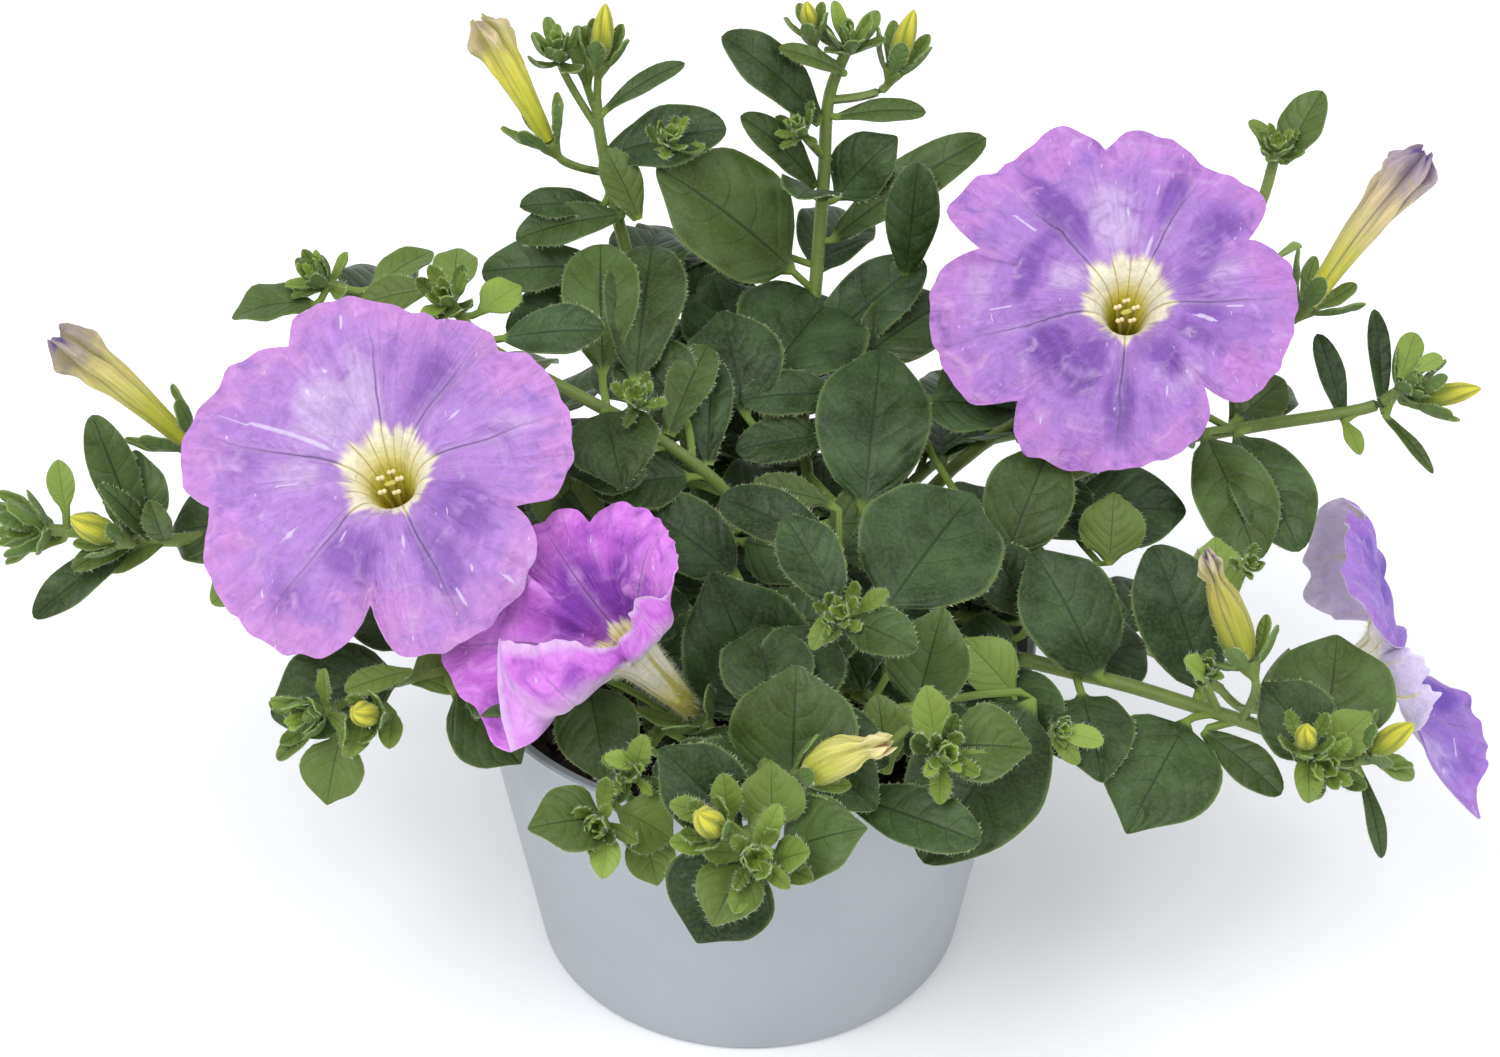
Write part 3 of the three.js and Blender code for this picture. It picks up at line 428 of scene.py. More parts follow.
def linear(code: str) -> tuple[float, float, float, float]:
    """Turn an sRGB hex value to linear light.

    Args:
        code: The value, as #rrggbb.

    Returns:
        Red, green, blue and an alpha of 1.
    """
    parts = [int(code[k : k + 2], 16) / 255 for k in (1, 3, 5)]
    light = [p / 12.92 if p <= 0.04045 else ((p + 0.055) / 1.055) ** 2.4 for p in parts]
    return (*light, 1.0)


# What the kinds of node that have modes call them
MODES = {"Math": "operation", "MapRange": "interpolation_type", "Mix": "blend_type"}


def add_node(
    tree: bpy.types.NodeTree, kind: str, *inputs: object, out: int | str = 0, **settings: object,
) -> Socket:
    """Add a node with its settings and links.

    Args:
        tree: The tree that gets the node.
        kind: Its type without the word ShaderNode, and its mode after a space. A Mix node mixes colours.
        inputs: What each input takes in turn, a value, a hex colour or a socket, or one dict by name.
        out: The name or number of the output to return.
        settings: Other properties of the node.

    Returns:
        The node's output.
    """
    kind, _, mode = kind.partition(" ")
    made = tree.nodes.new("ShaderNode" + kind)
    numbers = range(len(inputs))
    if kind == "Mix":
        made.data_type, numbers, out = "RGBA", (0, 6, 7), 2
    if mode:
        settings[MODES[kind]] = mode
    for key, value in settings.items():
        setattr(made, key, value)
    links = inputs[0] if inputs and isinstance(inputs[0], dict) else dict(zip(numbers, inputs))
    for key, value in links.items():
        if isinstance(value, Socket):
            tree.links.new(value, made.inputs[key])
        else:
            made.inputs[key].default_value = linear(value) if isinstance(value, str) else value
    return made.outputs[out] if made.outputs else None


def start(name: str) -> tuple[Material, Callable[..., Socket]]:
    """Start a material with an empty tree.

    Args:
        name: The material's name.

    Returns:
        The material, and the function that adds nodes to it.
    """
    made = bpy.data.materials.new(name)
    made.use_nodes = True
    made.node_tree.nodes.clear()
    return made, partial(add_node, made.node_tree)


@dataclass(frozen=True)
class LeafSkin:
    """Living petunia leaf: a dull soft skin with sunken veins painted darker as the shade in them, a pale
    thin edge and a velvet bloom.
    """

    name: str = "petunia_leaf_skin"
    old: str = "#192c0d"
    grey: str = "#3b5030"
    young: str = "#a4bd50"
    under: str = "#5f7842"
    edge: str = "#7b9050"
    stalk: str = "#71873a"

    def material(self) -> Material:
        """Make the material.

        Returns:
            The material.
        """
        made, add = start(self.name)
        uv = add("UVMap", uv_map="UVMap")
        x = add("SeparateXYZ", uv)
        y = x.node.outputs[1]
        marks = add("Attribute", attribute_name="marks", out="Color")
        youth = add("SeparateColor", marks)
        chance, side = youth.node.outputs[1], youth.node.outputs[2]
        rim = marks.node.outputs["Alpha"]
        place = add("TexCoord", out="Object")
        out_from_rib = add("Math ABSOLUTE", x)
        square = add("Math POWER", out_from_rib, 1.5)
        curve = add("Math MULTIPLY_ADD", square, -0.42, y)
        # The side veins wander by a noise 6 mm across
        wander = add("TexNoise", {"Vector": place, "Scale": 170, "Detail": 2})
        curve = add("Math MULTIPLY_ADD", wander, 0.09, curve)
        # Side veins leave the midrib every fifth of the blade, about 6 mm on a large leaf
        gap = add("Math PINGPONG", curve, 0.1)
        vein = add("MapRange SMOOTHSTEP", gap, 0, 0.01, 1, 0)
        fade = add("MapRange", out_from_rib, 0.25, 0.9, 0.45, 0)
        vein = add("Math MULTIPLY", vein, fade)
        rib = add("MapRange SMOOTHSTEP", out_from_rib, 0, 0.04, 0.8, 0)
        lines = add("Math MAXIMUM", vein, rib)
        on_blade = add("MapRange SMOOTHSTEP", y, 0, 0.06)
        calm = add("MapRange", youth, 0.25, 0.6, 1, 0.25)
        lines = add("Math MULTIPLY", lines, on_blade)
        lines = add("Math MULTIPLY", lines, calm)
        # Patches 9 mm across, as the bloom of hairs lies uneven, and a grain of 0.7 mm
        patch = add("TexNoise", {"Vector": place, "Scale": 110, "Detail": 3})
        patch = add("MapRange", patch, 0.35, 0.68)
        grain_and_crepe_shade = add("TexNoise", {"Vector": place, "Scale": 1400, "Detail": 2})
        base = add("Mix", patch, self.old, self.grey)
        base = add("Mix", youth, base, self.young)
        swing = add("MapRange", chance, 0, 1, 0.72, 1.22)
        base = add("Mix MULTIPLY", 1, base, swing)
        specks = add("MapRange", grain_and_crepe_shade, 0.4, 0.75, 0, 0.15)
        base = add("Mix", specks, base, self.edge)
        # Painted shade: the sunken midrib and side veins are painted darker, as the shade that falls in them
        dark = add("Math MULTIPLY", lines, 0.85)
        base = add("Mix", dark, base, "#101d09")
        pale = add("MapRange SMOOTHSTEP", rim, 0.92, 1, 0, 0.38)
        base = add("Mix", pale, base, self.edge)
        below = add("MapRange", side, 0, 1, 0.75, 0)
        base = add("Mix", below, base, self.under)
        base = add("Mix", on_blade, self.stalk, base)
        # The skin swells between the sunken veins, by less than half a millimetre
        swell = add("MapRange SMOOTHSTEP", gap, 0, 0.06)
        near = add("MapRange SMOOTHSTEP", out_from_rib, 0, 0.2)
        swell = add("Math MULTIPLY", swell, near)
        swell = add("Math MULTIPLY", swell, calm)
        relief = add("Math MULTIPLY_ADD", grain_and_crepe_shade, 0.12, swell)
        relief = add("Math MULTIPLY_ADD", lines, -0.7, relief)
        bump = add("Bump", {"Height": relief, "Distance": 0.0005, "Strength": 0.35})
        shader = add("BsdfPrincipled", {
            "Base Color": base, "Normal": bump, "Roughness": 0.45, "IOR": 1.36, "Specular IOR Level": 0.38,
            "Subsurface Weight": 0.05, "Subsurface Radius": (0.6, 1.0, 0.3), "Subsurface Scale": 0.0006,
            "Sheen Weight": 0.04, "Sheen Roughness": 0.4, "Sheen Tint": "#c9d9c4",
        })
        add("OutputMaterial", shader)
        return made


@dataclass(frozen=True)
class StemSkin:
    """Soft hairy stem: yellow-green skin with darker patches, a fine grain and a low gloss."""

    name: str = "petunia_stem_skin"
    light: str = "#7a8a3c"
    dark: str = "#566a30"

    def material(self) -> Material:
        """Make the material.

        Returns:
            The material.
        """
        made, add = start(self.name)
        place = add("TexCoord", out="Object")
        # Patches 6 mm across, and a grain of 0.7 mm
        patch = add("TexNoise", {"Vector": place, "Scale": 160, "Detail": 3})
        base = add("Mix", patch, self.dark, self.light)
        grain_and_crepe_shade = add("TexNoise", {"Vector": place, "Scale": 1500, "Detail": 2})
        bump = add("Bump", {"Height": grain_and_crepe_shade, "Distance": 0.0002, "Strength": 0.5})
        shader = add("BsdfPrincipled", {
            "Base Color": base, "Normal": bump, "Roughness": 0.5, "IOR": 1.42,
            "Subsurface Weight": 0.1, "Subsurface Radius": (0.6, 1.0, 0.3), "Subsurface Scale": 0.0006,
            "Sheen Weight": 0.08, "Sheen Roughness": 0.5, "Sheen Tint": "#dfe8c4",
        })
        add("OutputMaterial", shader)
        return made


@dataclass(frozen=True)
class PlantHair:
    """Clear sticky plant hair: it catches the light and reads as a pale fringe."""

    name: str = "petunia_hair"
    tone: str = "#aebb86"
    gleam: str = "#e4ead0"

    def material(self) -> Material:
        """Make the material.

        Returns:
            The material.
        """
        made, add = start(self.name)
        place = add("TexCoord", out="Object")
        # Tufts of hair about 3 mm across catch more or less light
        patch = add("TexNoise", {"Vector": place, "Scale": 300})
        base = add("Mix", patch, self.tone, self.gleam)
        shader = add("BsdfPrincipled", {"Base Color": base, "Roughness": 0.4, "IOR": 1.5})
        add("OutputMaterial", shader)
        return made


@dataclass(frozen=True)
class PetalSkin:
    """Fresh petunia petal: thin matt crepe, lavender with pale and violet clouds and a pinker margin,
    with fine radial veins, dark midrib lines, white flecks and a cream star round a yellow throat."""

    name: str
    body: str = "#a67cc0"
    pale: str = "#b9a2c9"
    margin: str = "#b981c0"
    deep: str = "#8259a5"
    back: str = "#c4b6d2"
    star: float = 1.0
    gold: float = 0.14
    flush: float = 0.5
    ribbing: str = "#b0a632"

    def material(self) -> Material:
        """Make the material.

        Returns:
            The material.
        """
        made, add = start(self.name)
        uv = add("UVMap", uv_map="UVMap")
        turn = add("SeparateXYZ", uv)
        marks = add("Attribute", attribute_name="marks", out="Color")
        reach = add("SeparateColor", marks)
        inside, limb = reach.node.outputs[1], reach.node.outputs[2]
        arc = marks.node.outputs["Alpha"]
        clouds = add("Attribute", attribute_name="tints", out="Color")
        tints = add("SeparateColor", clouds)
        place = add("TexCoord", out="Object")
        # Radial veins about 1 mm apart, and a finer net of them
        around = add("Math MULTIPLY", turn, 24)
        outward = add("Math MULTIPLY", turn.node.outputs[1], 4)
        strip = add("CombineXYZ", around, outward)
        streak = add("TexNoise", {"Vector": strip, "Scale": 1, "Detail": 5, "Distortion": 0.7})
        # Clouds 15 mm and 6 mm across
        cloud = add("TexNoise", {"Vector": place, "Scale": 65, "Detail": 5, "Distortion": 0.5})
        mottle = add("TexNoise", {"Vector": place, "Scale": 170, "Detail": 5, "Distortion": 1})

        def patch(weight: Socket, noise: Socket, low: float, rough: float = 1.3) -> Socket:
            """Break up the edge of a soft patch with a noise.

            Args:
                weight: How strongly each point takes the patch.
                noise: The noise.
                low: The weight at which the patch begins.
                rough: How far the noise moves its edge.

            Returns:
                The patch's share.
            """
            loose = add("Math MULTIPLY_ADD", noise, rough, -0.5 * rough)
            loose = add("Math ADD", weight, loose)
            return add("MapRange SMOOTHSTEP", loose, low, low + 0.7)

        blur = add("Math MULTIPLY_ADD", streak, 0.4, mottle)
        blur = add("Math SUBTRACT", blur, 0.2)
        base = add("Mix", patch(tints.node.outputs[0], blur, 0.1, 0.6), self.body, self.pale)
        base = add("Mix", patch(tints.node.outputs[1], cloud, 0.05), base, self.deep)
        rosy = add("MapRange", limb, 0.55, 1, 0, 0.75)
        rosy = add("Math MAXIMUM", rosy, tints.node.outputs[2])
        base = add("Mix", patch(rosy, mottle, 0.15), base, self.margin)
        light = add("MapRange SMOOTHSTEP", mottle, 0.52, 0.78, 0, 0.55)
        base = add("Mix", light, base, self.pale)
        dark = add("MapRange SMOOTHSTEP", mottle, 0.28, 0.46, 0.4, 0)
        base = add("Mix", dark, base, self.deep)
        swing = add("MapRange", streak, 0.28, 0.72, 0.9, 1.1)
        base = add("Mix MULTIPLY", 1, base, swing)
        # Midrib lines, a third of a millimetre to each side: an arc of 1 stands for 60 mm
        part = add("Math MULTIPLY_ADD", cloud, 0.1, turn)
        part = add("Math SUBTRACT", part, 0.05)
        part = add("Math FRACT", part)
        off = add("Math SUBTRACT", part, 0.5)
        off = add("Math ABSOLUTE", off)
        off = add("Math MULTIPLY", off, arc)
        line = add("MapRange SMOOTHSTEP", off, 0, 0.0055, 1, 0)
        fading = add("MapRange", limb, 0.3, 0.95, 0.75, 0)
        line = add("Math MULTIPLY", line, fading)
        flank = add("MapRange SMOOTHSTEP", off, 0, 0.04, 1, 0)
        flank = add("Math MULTIPLY", flank, fading)
        base = add("Mix", add("Math MULTIPLY", flank, 0.45), base, self.pale)
        base = add("Mix", line, base, "#5c4f78")
        # White flecks 1 mm long, and scratches: half a scratch's width is a twentieth of this mark
        fleck = add("Mapping", {"Vector": place, "Scale": (1, 0.22, 0.5), "Rotation": (0, 0, 0.7)})
        fleck = add("TexNoise", {"Vector": fleck, "Scale": 900, "Detail": 1, "Distortion": 0.5})
        fleck = add("MapRange", fleck, 0.745, 0.78, 0, 0.7)
        base = add("Mix", fleck, base, "#cfc6da")
        gap = add("Math SUBTRACT", clouds.node.outputs["Alpha"], 0.5)
        gap = add("Math ABSOLUTE", gap)
        scratch = add("MapRange SMOOTHSTEP", gap, 0.015, 0.055, 0.8, 0)
        base = add("Mix", scratch, base, "#cbc0dc")
        # The star: cream a few millimetres past the mouth with a feathered edge, and yellow down the throat
        feather = add("TexNoise", {"Vector": strip, "Scale": 0.22, "Detail": 4, "Roughness": 0.5})
        edge = add("Math MULTIPLY_ADD", feather, -0.12, reach)
        edge = add("Math MULTIPLY_ADD", flank, -0.03, edge)
        reached = 0.12 * self.star
        star = add("MapRange SMOOTHSTEP", edge, reached - 0.052, reached - 0.01, 1, 0)
        down = add("MapRange SMOOTHSTEP", reach, 0.03, self.gold, 0, 1)
        cream = add("Mix", down, "#fff23c", "#e6e0c4")
        thin = add("Math MULTIPLY_ADD", turn, 3, 0)
        thin = add("Math FRACT", thin)
        thin = add("Math SUBTRACT", thin, 0.5)
        thin = add("Math ABSOLUTE", thin)
        thin = add("MapRange SMOOTHSTEP", thin, 0.01, 0.08, 0.75, 0)
        cream = add("Mix", thin, cream, "#a3952c")
        face = add("Mix", star, base, cream)
        # The back: pale, yellower down the tube, with yellow-green veins and a tinge of the face
        tube = add("MapRange SMOOTHSTEP", limb, 0, 0.3, 0, 1)
        root = add("MapRange SMOOTHSTEP", turn.node.outputs[1], 0.04, 0.2)
        rear = add("Mix", root, "#ece22e", "#f0ecd6")
        rear = add("Mix", tube, rear, self.back)
        tinge = add("MapRange SMOOTHSTEP", limb, 0.45, 0.72, 0.1, self.flush)
        rear = add("Mix", tinge, rear, base)
        vein = add("MapRange SMOOTHSTEP", off, 0.003, 0.012, 0.8, 0)
        # The more the back is flushed, the sooner its veins fade
        worn = add("MapRange", limb, 0.25, 1.15 - 0.7 * self.flush, 1, 0)
        vein = add("Math MULTIPLY", vein, worn)
        rear = add("Mix", vein, rear, self.ribbing)
        rear = add("Mix", add("Math MULTIPLY", thin, worn), rear, "#cfc548")
        rim = add("MapRange SMOOTHSTEP", limb, 0.9, 0.98, 0, 0.7)
        rear = add("Mix", rim, rear, self.back)
        whole = add("Mix", inside, rear, face)
        # Crepe: creases 1 to 3 mm apart. They are in the bump, and their shade and light are also painted
        # into the colour, from 0.9 to 1.1 times
        crepe = add("TexNoise", {"Vector": place, "Scale": 420, "Detail": 5, "Distortion": 1.2})
        grain_and_crepe_shade = add("MapRange", crepe, 0.3, 0.7, 0.9, 1.1)
        whole = add("Mix MULTIPLY", 1, whole, grain_and_crepe_shade)
        relief = add("Math MULTIPLY_ADD", crepe, 0.9, streak)
        relief = add("Math MULTIPLY_ADD", mottle, 1.6, relief)
        relief = add("Math MULTIPLY_ADD", line, -0.9, relief)
        bump = add("Bump", {"Height": relief, "Distance": 0.001, "Strength": 0.6})
        shader = add("BsdfPrincipled", {
            "Base Color": whole, "Normal": bump, "Roughness": 0.6, "IOR": 1.4,
            "Subsurface Weight": 0.25, "Subsurface Radius": (1.0, 0.8, 0.9), "Subsurface Scale": 0.0008,
            "Sheen Weight": 0.12, "Sheen Roughness": 0.4, "Sheen Tint": "#e8d8ff",
        })
        add("OutputMaterial", shader)
        return made


@dataclass(frozen=True)
class PodSkin:
    """Skin of a bud or a withered flower: its colour runs from foot to tip, with furrow lines and veins."""

    name: str
    foot: str
    belly: str
    tip: str
    furrow: str
    core: str = "#5b4378"

    def material(self) -> Material:
        """Make the material.

        Returns:
            The material.
        """
        made, add = start(self.name)
        uv = add("UVMap", uv_map="UVMap")
        turn = add("SeparateXYZ", uv)
        height = turn.node.outputs[1]
        marks = add("Attribute", attribute_name="marks", out="Color")
        crease = add("SeparateColor", marks)
        place = add("TexCoord", out="Object")
        # Patches 3 mm across make the colours run into each other
        patch = add("TexNoise", {"Vector": place, "Scale": 350, "Detail": 4})
        ragged = add("Math MULTIPLY_ADD", patch, 0.35, height)
        low = add("MapRange SMOOTHSTEP", ragged, 0.3, 0.85)
        high = add("MapRange SMOOTHSTEP", ragged, 0.8, 1.1)
        base = add("Mix", low, self.foot, self.belly)
        base = add("Mix", high, base, self.tip)
        # Lengthways streaks about half a millimetre wide
        around = add("Math MULTIPLY", turn, 22)
        strip = add("CombineXYZ", around, height)
        streak = add("TexNoise", {"Vector": strip, "Scale": 2, "Detail": 3, "Distortion": 0.5})
        swing = add("MapRange", streak, 0.3, 0.7, 0.78, 1.2)
        base = add("Mix MULTIPLY", 1, base, swing)
        veins = add("Math MULTIPLY", turn, 5)
        veins = add("Math PINGPONG", veins, 0.5)
        veins = add("MapRange SMOOTHSTEP", veins, 0.02, 0.09, 0.55, 0)
        base = add("Mix", veins, base, self.furrow)
        dark = add("Math MULTIPLY", crease, 0.8)
        base = add("Mix", dark, base, self.furrow)
        base = add("Mix", crease.node.outputs[1], base, self.core)
        relief = add("Math MULTIPLY_ADD", patch, 1, streak)
        bump = add("Bump", {"Height": relief, "Distance": 0.0005, "Strength": 0.5})
        shader = add("BsdfPrincipled", {
            "Base Color": base, "Normal": bump, "Roughness": 0.6, "IOR": 1.4,
            "Subsurface Weight": 0.15, "Subsurface Radius": (1.0, 0.9, 0.4), "Subsurface Scale": 0.0006,
            "Sheen Weight": 0.1, "Sheen Roughness": 0.5,
        })
        add("OutputMaterial", shader)
        return made


@dataclass(frozen=True)
class PotPlastic:
    """Injection-moulded polypropylene: an even cool grey with a low satin gloss and a faint orange-peel."""

    name: str = "moulded_grey_polypropylene"
    tone: str = "#a3a8ac"
    shade: str = "#9a9fa4"

    def material(self) -> Material:
        """Make the material.

        Returns:
            The material.
        """
        made, add = start(self.name)
        place = add("TexCoord", out="Object")
        # Clouds 3 cm across, and an orange-peel of 1 mm, drawn as coarse as it needs to show
        cloud = add("TexNoise", {"Vector": place, "Scale": 35, "Detail": 3})
        base = add("Mix", cloud, self.tone, self.shade)
        fine = add("TexNoise", {"Vector": place, "Scale": 900, "Detail": 3})
        bump = add("Bump", {"Height": fine, "Distance": 0.0001, "Strength": 0.35})
        gloss = add("MapRange", cloud, 0.3, 0.7, 0.38, 0.5)
        shader = add("BsdfPrincipled", {
            "Base Color": base, "Normal": bump, "Roughness": gloss, "IOR": 1.49,
        })
        add("OutputMaterial", shader)
        return made


@dataclass(frozen=True)
class Peat:
    """Damp peat compost: near-black brown crumbs with paler fibres, quite matt."""

    name: str = "damp_peat"

    def material(self) -> Material:
        """Make the material.

        Returns:
            The material.
        """
        made, add = start(self.name)
        place = add("TexCoord", out="Object")
        # Crumbs of 2 mm
        crumb = add("TexNoise", {"Vector": place, "Scale": 500, "Detail": 5})
        share = add("MapRange", crumb, 0.4, 0.7)
        base = add("Mix", share, "#1d1611", "#47382b")
        bump = add("Bump", {"Height": crumb, "Distance": 0.001, "Strength": 0.8})
        shader = add("BsdfPrincipled", {"Base Color": base, "Normal": bump, "Roughness": 0.95, "IOR": 1.4})
        add("OutputMaterial", shader)
        return made


@dataclass(frozen=True)
class Pollen:
    """Anthers and stigma: a dry grain of cream pollen on green threads."""

    name: str = "anther_pollen"
    tone: str = "#ecdcae"
    thread: str = "#b8b848"

    def material(self) -> Material:
        """Make the material.

        Returns:
            The material.
        """
        made, add = start(self.name)
        place = add("TexCoord", out="Object")
        marks = add("Attribute", attribute_name="marks", out="Color")
        head = add("SeparateColor", marks)
        # Grains of 0.4 mm
        grain_and_crepe_shade = add("TexNoise", {"Vector": place, "Scale": 2500, "Detail": 2})
        base = add("Mix", head, self.thread, self.tone)
        base = add("Mix", add("MapRange", grain_and_crepe_shade, 0, 1, 0, 0.35), base, "#c99b77")
        bump = add("Bump", {"Height": grain_and_crepe_shade, "Distance": 0.0002, "Strength": 0.7})
        shader = add("BsdfPrincipled", {"Base Color": base, "Normal": bump, "Roughness": 0.8, "IOR": 1.4})
        add("OutputMaterial", shader)
        return made

LEAF_SKIN = LeafSkin().material()
STEM_SKIN = StemSkin().material()
PLANT_HAIR = PlantHair().material()
GREENERY = [LEAF_SKIN, STEM_SKIN, PLANT_HAIR]
BLADE_SLOT, STEM_SLOT, HAIR_SLOT = range(3)
# How young the oldest leaves look, from 0 to 1, and sizes in millimetres: a tuft below SMALL_TUFT has
# no outermost whorl, and a leaf's stalk or a tuft's stem shows only where it is longer than its least
OLDEST = 0.02
SMALL_TUFT = 6
LEAST_STALK = 2.5
LEAST_STEM = 4


# Leaves


@dataclass
class Blade:
    """One leaf: a stalk from the stem to the foot of the blade, and the blade."""

    root: Array
    foot: Array
    tip: Array
    wide: float
    face: Array
    fold: float = 0.22
    arch: float = 0.07
    youth: float = 0.0
    chance: float = 0.5
    fullness: float = 0.72
    thick: float = 0.36
    stalk: float = 0.85
    outline: Outline = Outline.OVATE

    def __post_init__(self) -> None:
        """Work out the directions that the leaf is built on."""
        self.root, self.foot, self.tip = (np.asarray(p, float) for p in (self.root, self.foot, self.tip))
        self.long = float(np.linalg.norm(self.tip - self.foot))
        self.axis = unit(self.tip - self.foot)
        self.up = square_to(self.axis, self.face)
        self.stalked = np.linalg.norm(self.foot - self.root) > LEAST_STALK
        self.split = 0.2 if self.stalked else 0.0

    def line(self, y: Array) -> Array:
        """Give the places of the leaf's midline.

        Args:
            y: Shares of the way from the stem to the tip.

        Returns:
            One place a row.
        """
        v = np.clip((y - self.split) / (1 - self.split), 0, 1)[:, None]
        lift = 4 * self.arch * v * (1 - v) * self.long
        blade = self.foot + self.axis * self.long * v + self.up * lift
        if not self.stalked:
            return blade
        s = np.clip(y / self.split, 0, 1)[:, None]
        gap = np.linalg.norm(self.foot - self.root)
        lean = unit(self.axis + 4 * self.arch * self.up) * gap * 0.9
        start = (self.foot - self.root) * 1.2 - lean * 0.3
        stalk = eased(s, self.root, self.foot, start, lean)
        return np.where((y < self.split)[:, None], stalk, blade)

    def surface(self, x: Array, y: Array, z: Array) -> Array:
        """Bend points of a flat sheet onto the leaf.

        Args:
            x: Shares of the half-width, from -1 to 1.
            y: Shares of the way from the stem to the tip.
            z: 0 for the under side and 1 for the upper side.

        Returns:
            One place a row.
        """
        way = unit(self.line(np.minimum(y + 0.015, 1)) - self.line(np.maximum(y - 0.015, 0)))
        up = turned(self.up, self.axis, way)
        across = np.cross(way, up)
        v = np.clip((y - self.split) / (1 - self.split), 0, 1)
        ovate = np.sin(math.pi * v**0.9) ** self.fullness
        ovate = np.where(v <= 0, 0, ovate) * (0.35 + 0.65 * step(0, 0.16, v)) * (1 - 0.4 * step(0.7, 1, v))
        past = np.clip((v - 0.6) / 0.4, 0, 1)
        tongue = (0.36 + 0.64 * step(0, 0.6, v)) * np.sqrt(np.maximum(1 - past**2.2, 0))
        # A narrow leaf is blunter than a broad one
        blunt = 0.75 * np.clip((0.85 - self.wide / self.long) / 0.35, 0, 1)
        blunt = 1 if self.outline is Outline.TONGUE else blunt
        blunt = blunt * step(0, 0.1, v + 0.1 * (not self.stalked))
        broad = np.where(y < self.split, 0, ovate + (tongue - ovate) * blunt)
        half = np.maximum(self.wide / 2 * broad, np.where(v < 0.5, self.stalk, 0.12))
        wave = np.sin(2 * math.pi * (2.1 * v + self.chance) + 1.3 * np.sign(x))
        flare = np.abs(x) ** 3 * (0.075 * wave + 0.03 * np.sin(11 * v + 9 * self.chance))
        sheet = self.fold * (np.sqrt(x * x + 0.015) - 0.12) + 0.09 * np.sin(math.pi * np.abs(x)) + flare
        lift = half * sheet * step(0, 0.12, v)
        flat = step(0, 0.1, v)
        rod = 1.5 * self.stalk * np.sqrt(np.maximum(1 - x * x, 0)) + 0.1
        vein = 0.9 * np.exp(-((x * half / 0.7) ** 2)) * (1 - v)
        thick = flat * (self.thick + (1 - z) * vein) + (1 - flat) * rod
        height = lift + (z - 0.5) * thick
        return self.line(y) + across * (x * half)[:, None] + up * height[:, None]

    def grow(self, growth: Growth, rng: Chance) -> None:
        """Add the leaf and the hairs of its margin.

        Args:
            growth: What the leaf is added to.
            rng: The source of chance.
        """
        crowd = Crowd.BROAD if self.wide > 15 else Crowd.MIDDLE if self.wide > 8 else Crowd.SMALL
        pattern = SHEETS[crowd]
        x, y, z = pattern.places.T
        # The rows crowd towards the tip, which is blunt
        v = (y - self.split) / (1 - self.split)
        v = np.where(v > 0, 1 - (1 - np.clip(v, 0, 1)) ** 1.5, v)
        y = self.split + (1 - self.split) * v
        marks = np.stack([np.full_like(x, self.youth), np.full_like(x, self.chance), z, np.abs(x)], 1)
        # The map keeps the blade's proportions, so that the veins of a narrow leaf don't crowd
        maps = np.stack([x * min(1.15 * self.wide / self.long, 1.1), v], 1)
        growth.add(pattern, self.surface(x, y, z), BLADE_SLOT, marks, maps)
        count = int(self.long * 2.7)
        y = np.repeat(self.split + (1 - self.split) * (0.04 + 0.95 * rng.random(count)), 2)
        x = np.tile([-1.0, 1.0], count)
        middle = np.full_like(x, 0.5)
        feet = self.surface(x * 0.985, y, middle)
        outward = unit(feet - self.surface(x * 0.85, y, middle))
        ways = outward + 0.2 * self.axis + rng.normal(0, 0.3, feet.shape)
        lengths = rng.uniform(0.4, 1.05, len(feet))
        growth.hairs(feet, ways, lengths, HAIR_SLOT)


@dataclass(frozen=True)
class Leaf:
    """A leaf of a shoot: its place on the stem, its tip, its width, and if it has a stalk or is folded
    more than most, the foot of its blade and its fold."""

    at: float
    tip: Point
    wide: float
    foot: Point | None = None
    fold: float = 0.22


@dataclass(frozen=True)
class Tuft:
    """Young leaves at a growing tip: place on the stem, centre, direction and radius."""

    at: float
    centre: Point
    heading: Point
    radius: float

    def grow(self, growth: Growth, rng: Chance) -> None:
        """Add the young leaves, in whorls that grow smaller and steeper inwards.

        Args:
            growth: What the leaves are added to.
            rng: The source of chance.
        """
        axis = unit(self.heading)
        first = square_to(axis, (0.3, 0.2, 1))
        second = np.cross(axis, first)
        # Each whorl has its number of leaves, their tilt in degrees, their length and its height
        whorls = [(4, 60, 1.2, -1.6), (4, 40, 1.05, -0.6), (4, 26, 0.85, 0.2), (5, 16, 0.65, 0.8)]
        if self.radius < SMALL_TUFT:
            whorls = whorls[1:]
        for k, (count, tilt, reach, rise) in enumerate(whorls):
            for i in range(count):
                turn = 2 * math.pi * (i + 0.5 * (k % 2) + rng.uniform(-0.12, 0.12)) / count + 0.4 * k
                lean = math.radians(tilt + rng.uniform(-16, 14))
                out = first * math.cos(turn) + second * math.sin(turn)
                root = np.array(self.centre) + axis * rise + out * 0.5
                long = self.radius * reach * rng.uniform(0.82, 1.12)
                tip = root + long * (out * math.sin(lean) + axis * math.cos(lean))
                Blade(
                    root, root, tip, long * rng.uniform(0.3, 0.42), axis, fold=0.4,
                    arch=rng.uniform(-0.18, 0.02), youth=0.32 + 0.11 * k + rng.uniform(-0.18, 0.18),
                    chance=rng.random(), thick=0.45, stalk=0.6, outline=Outline.TONGUE,
                ).grow(growth, rng)


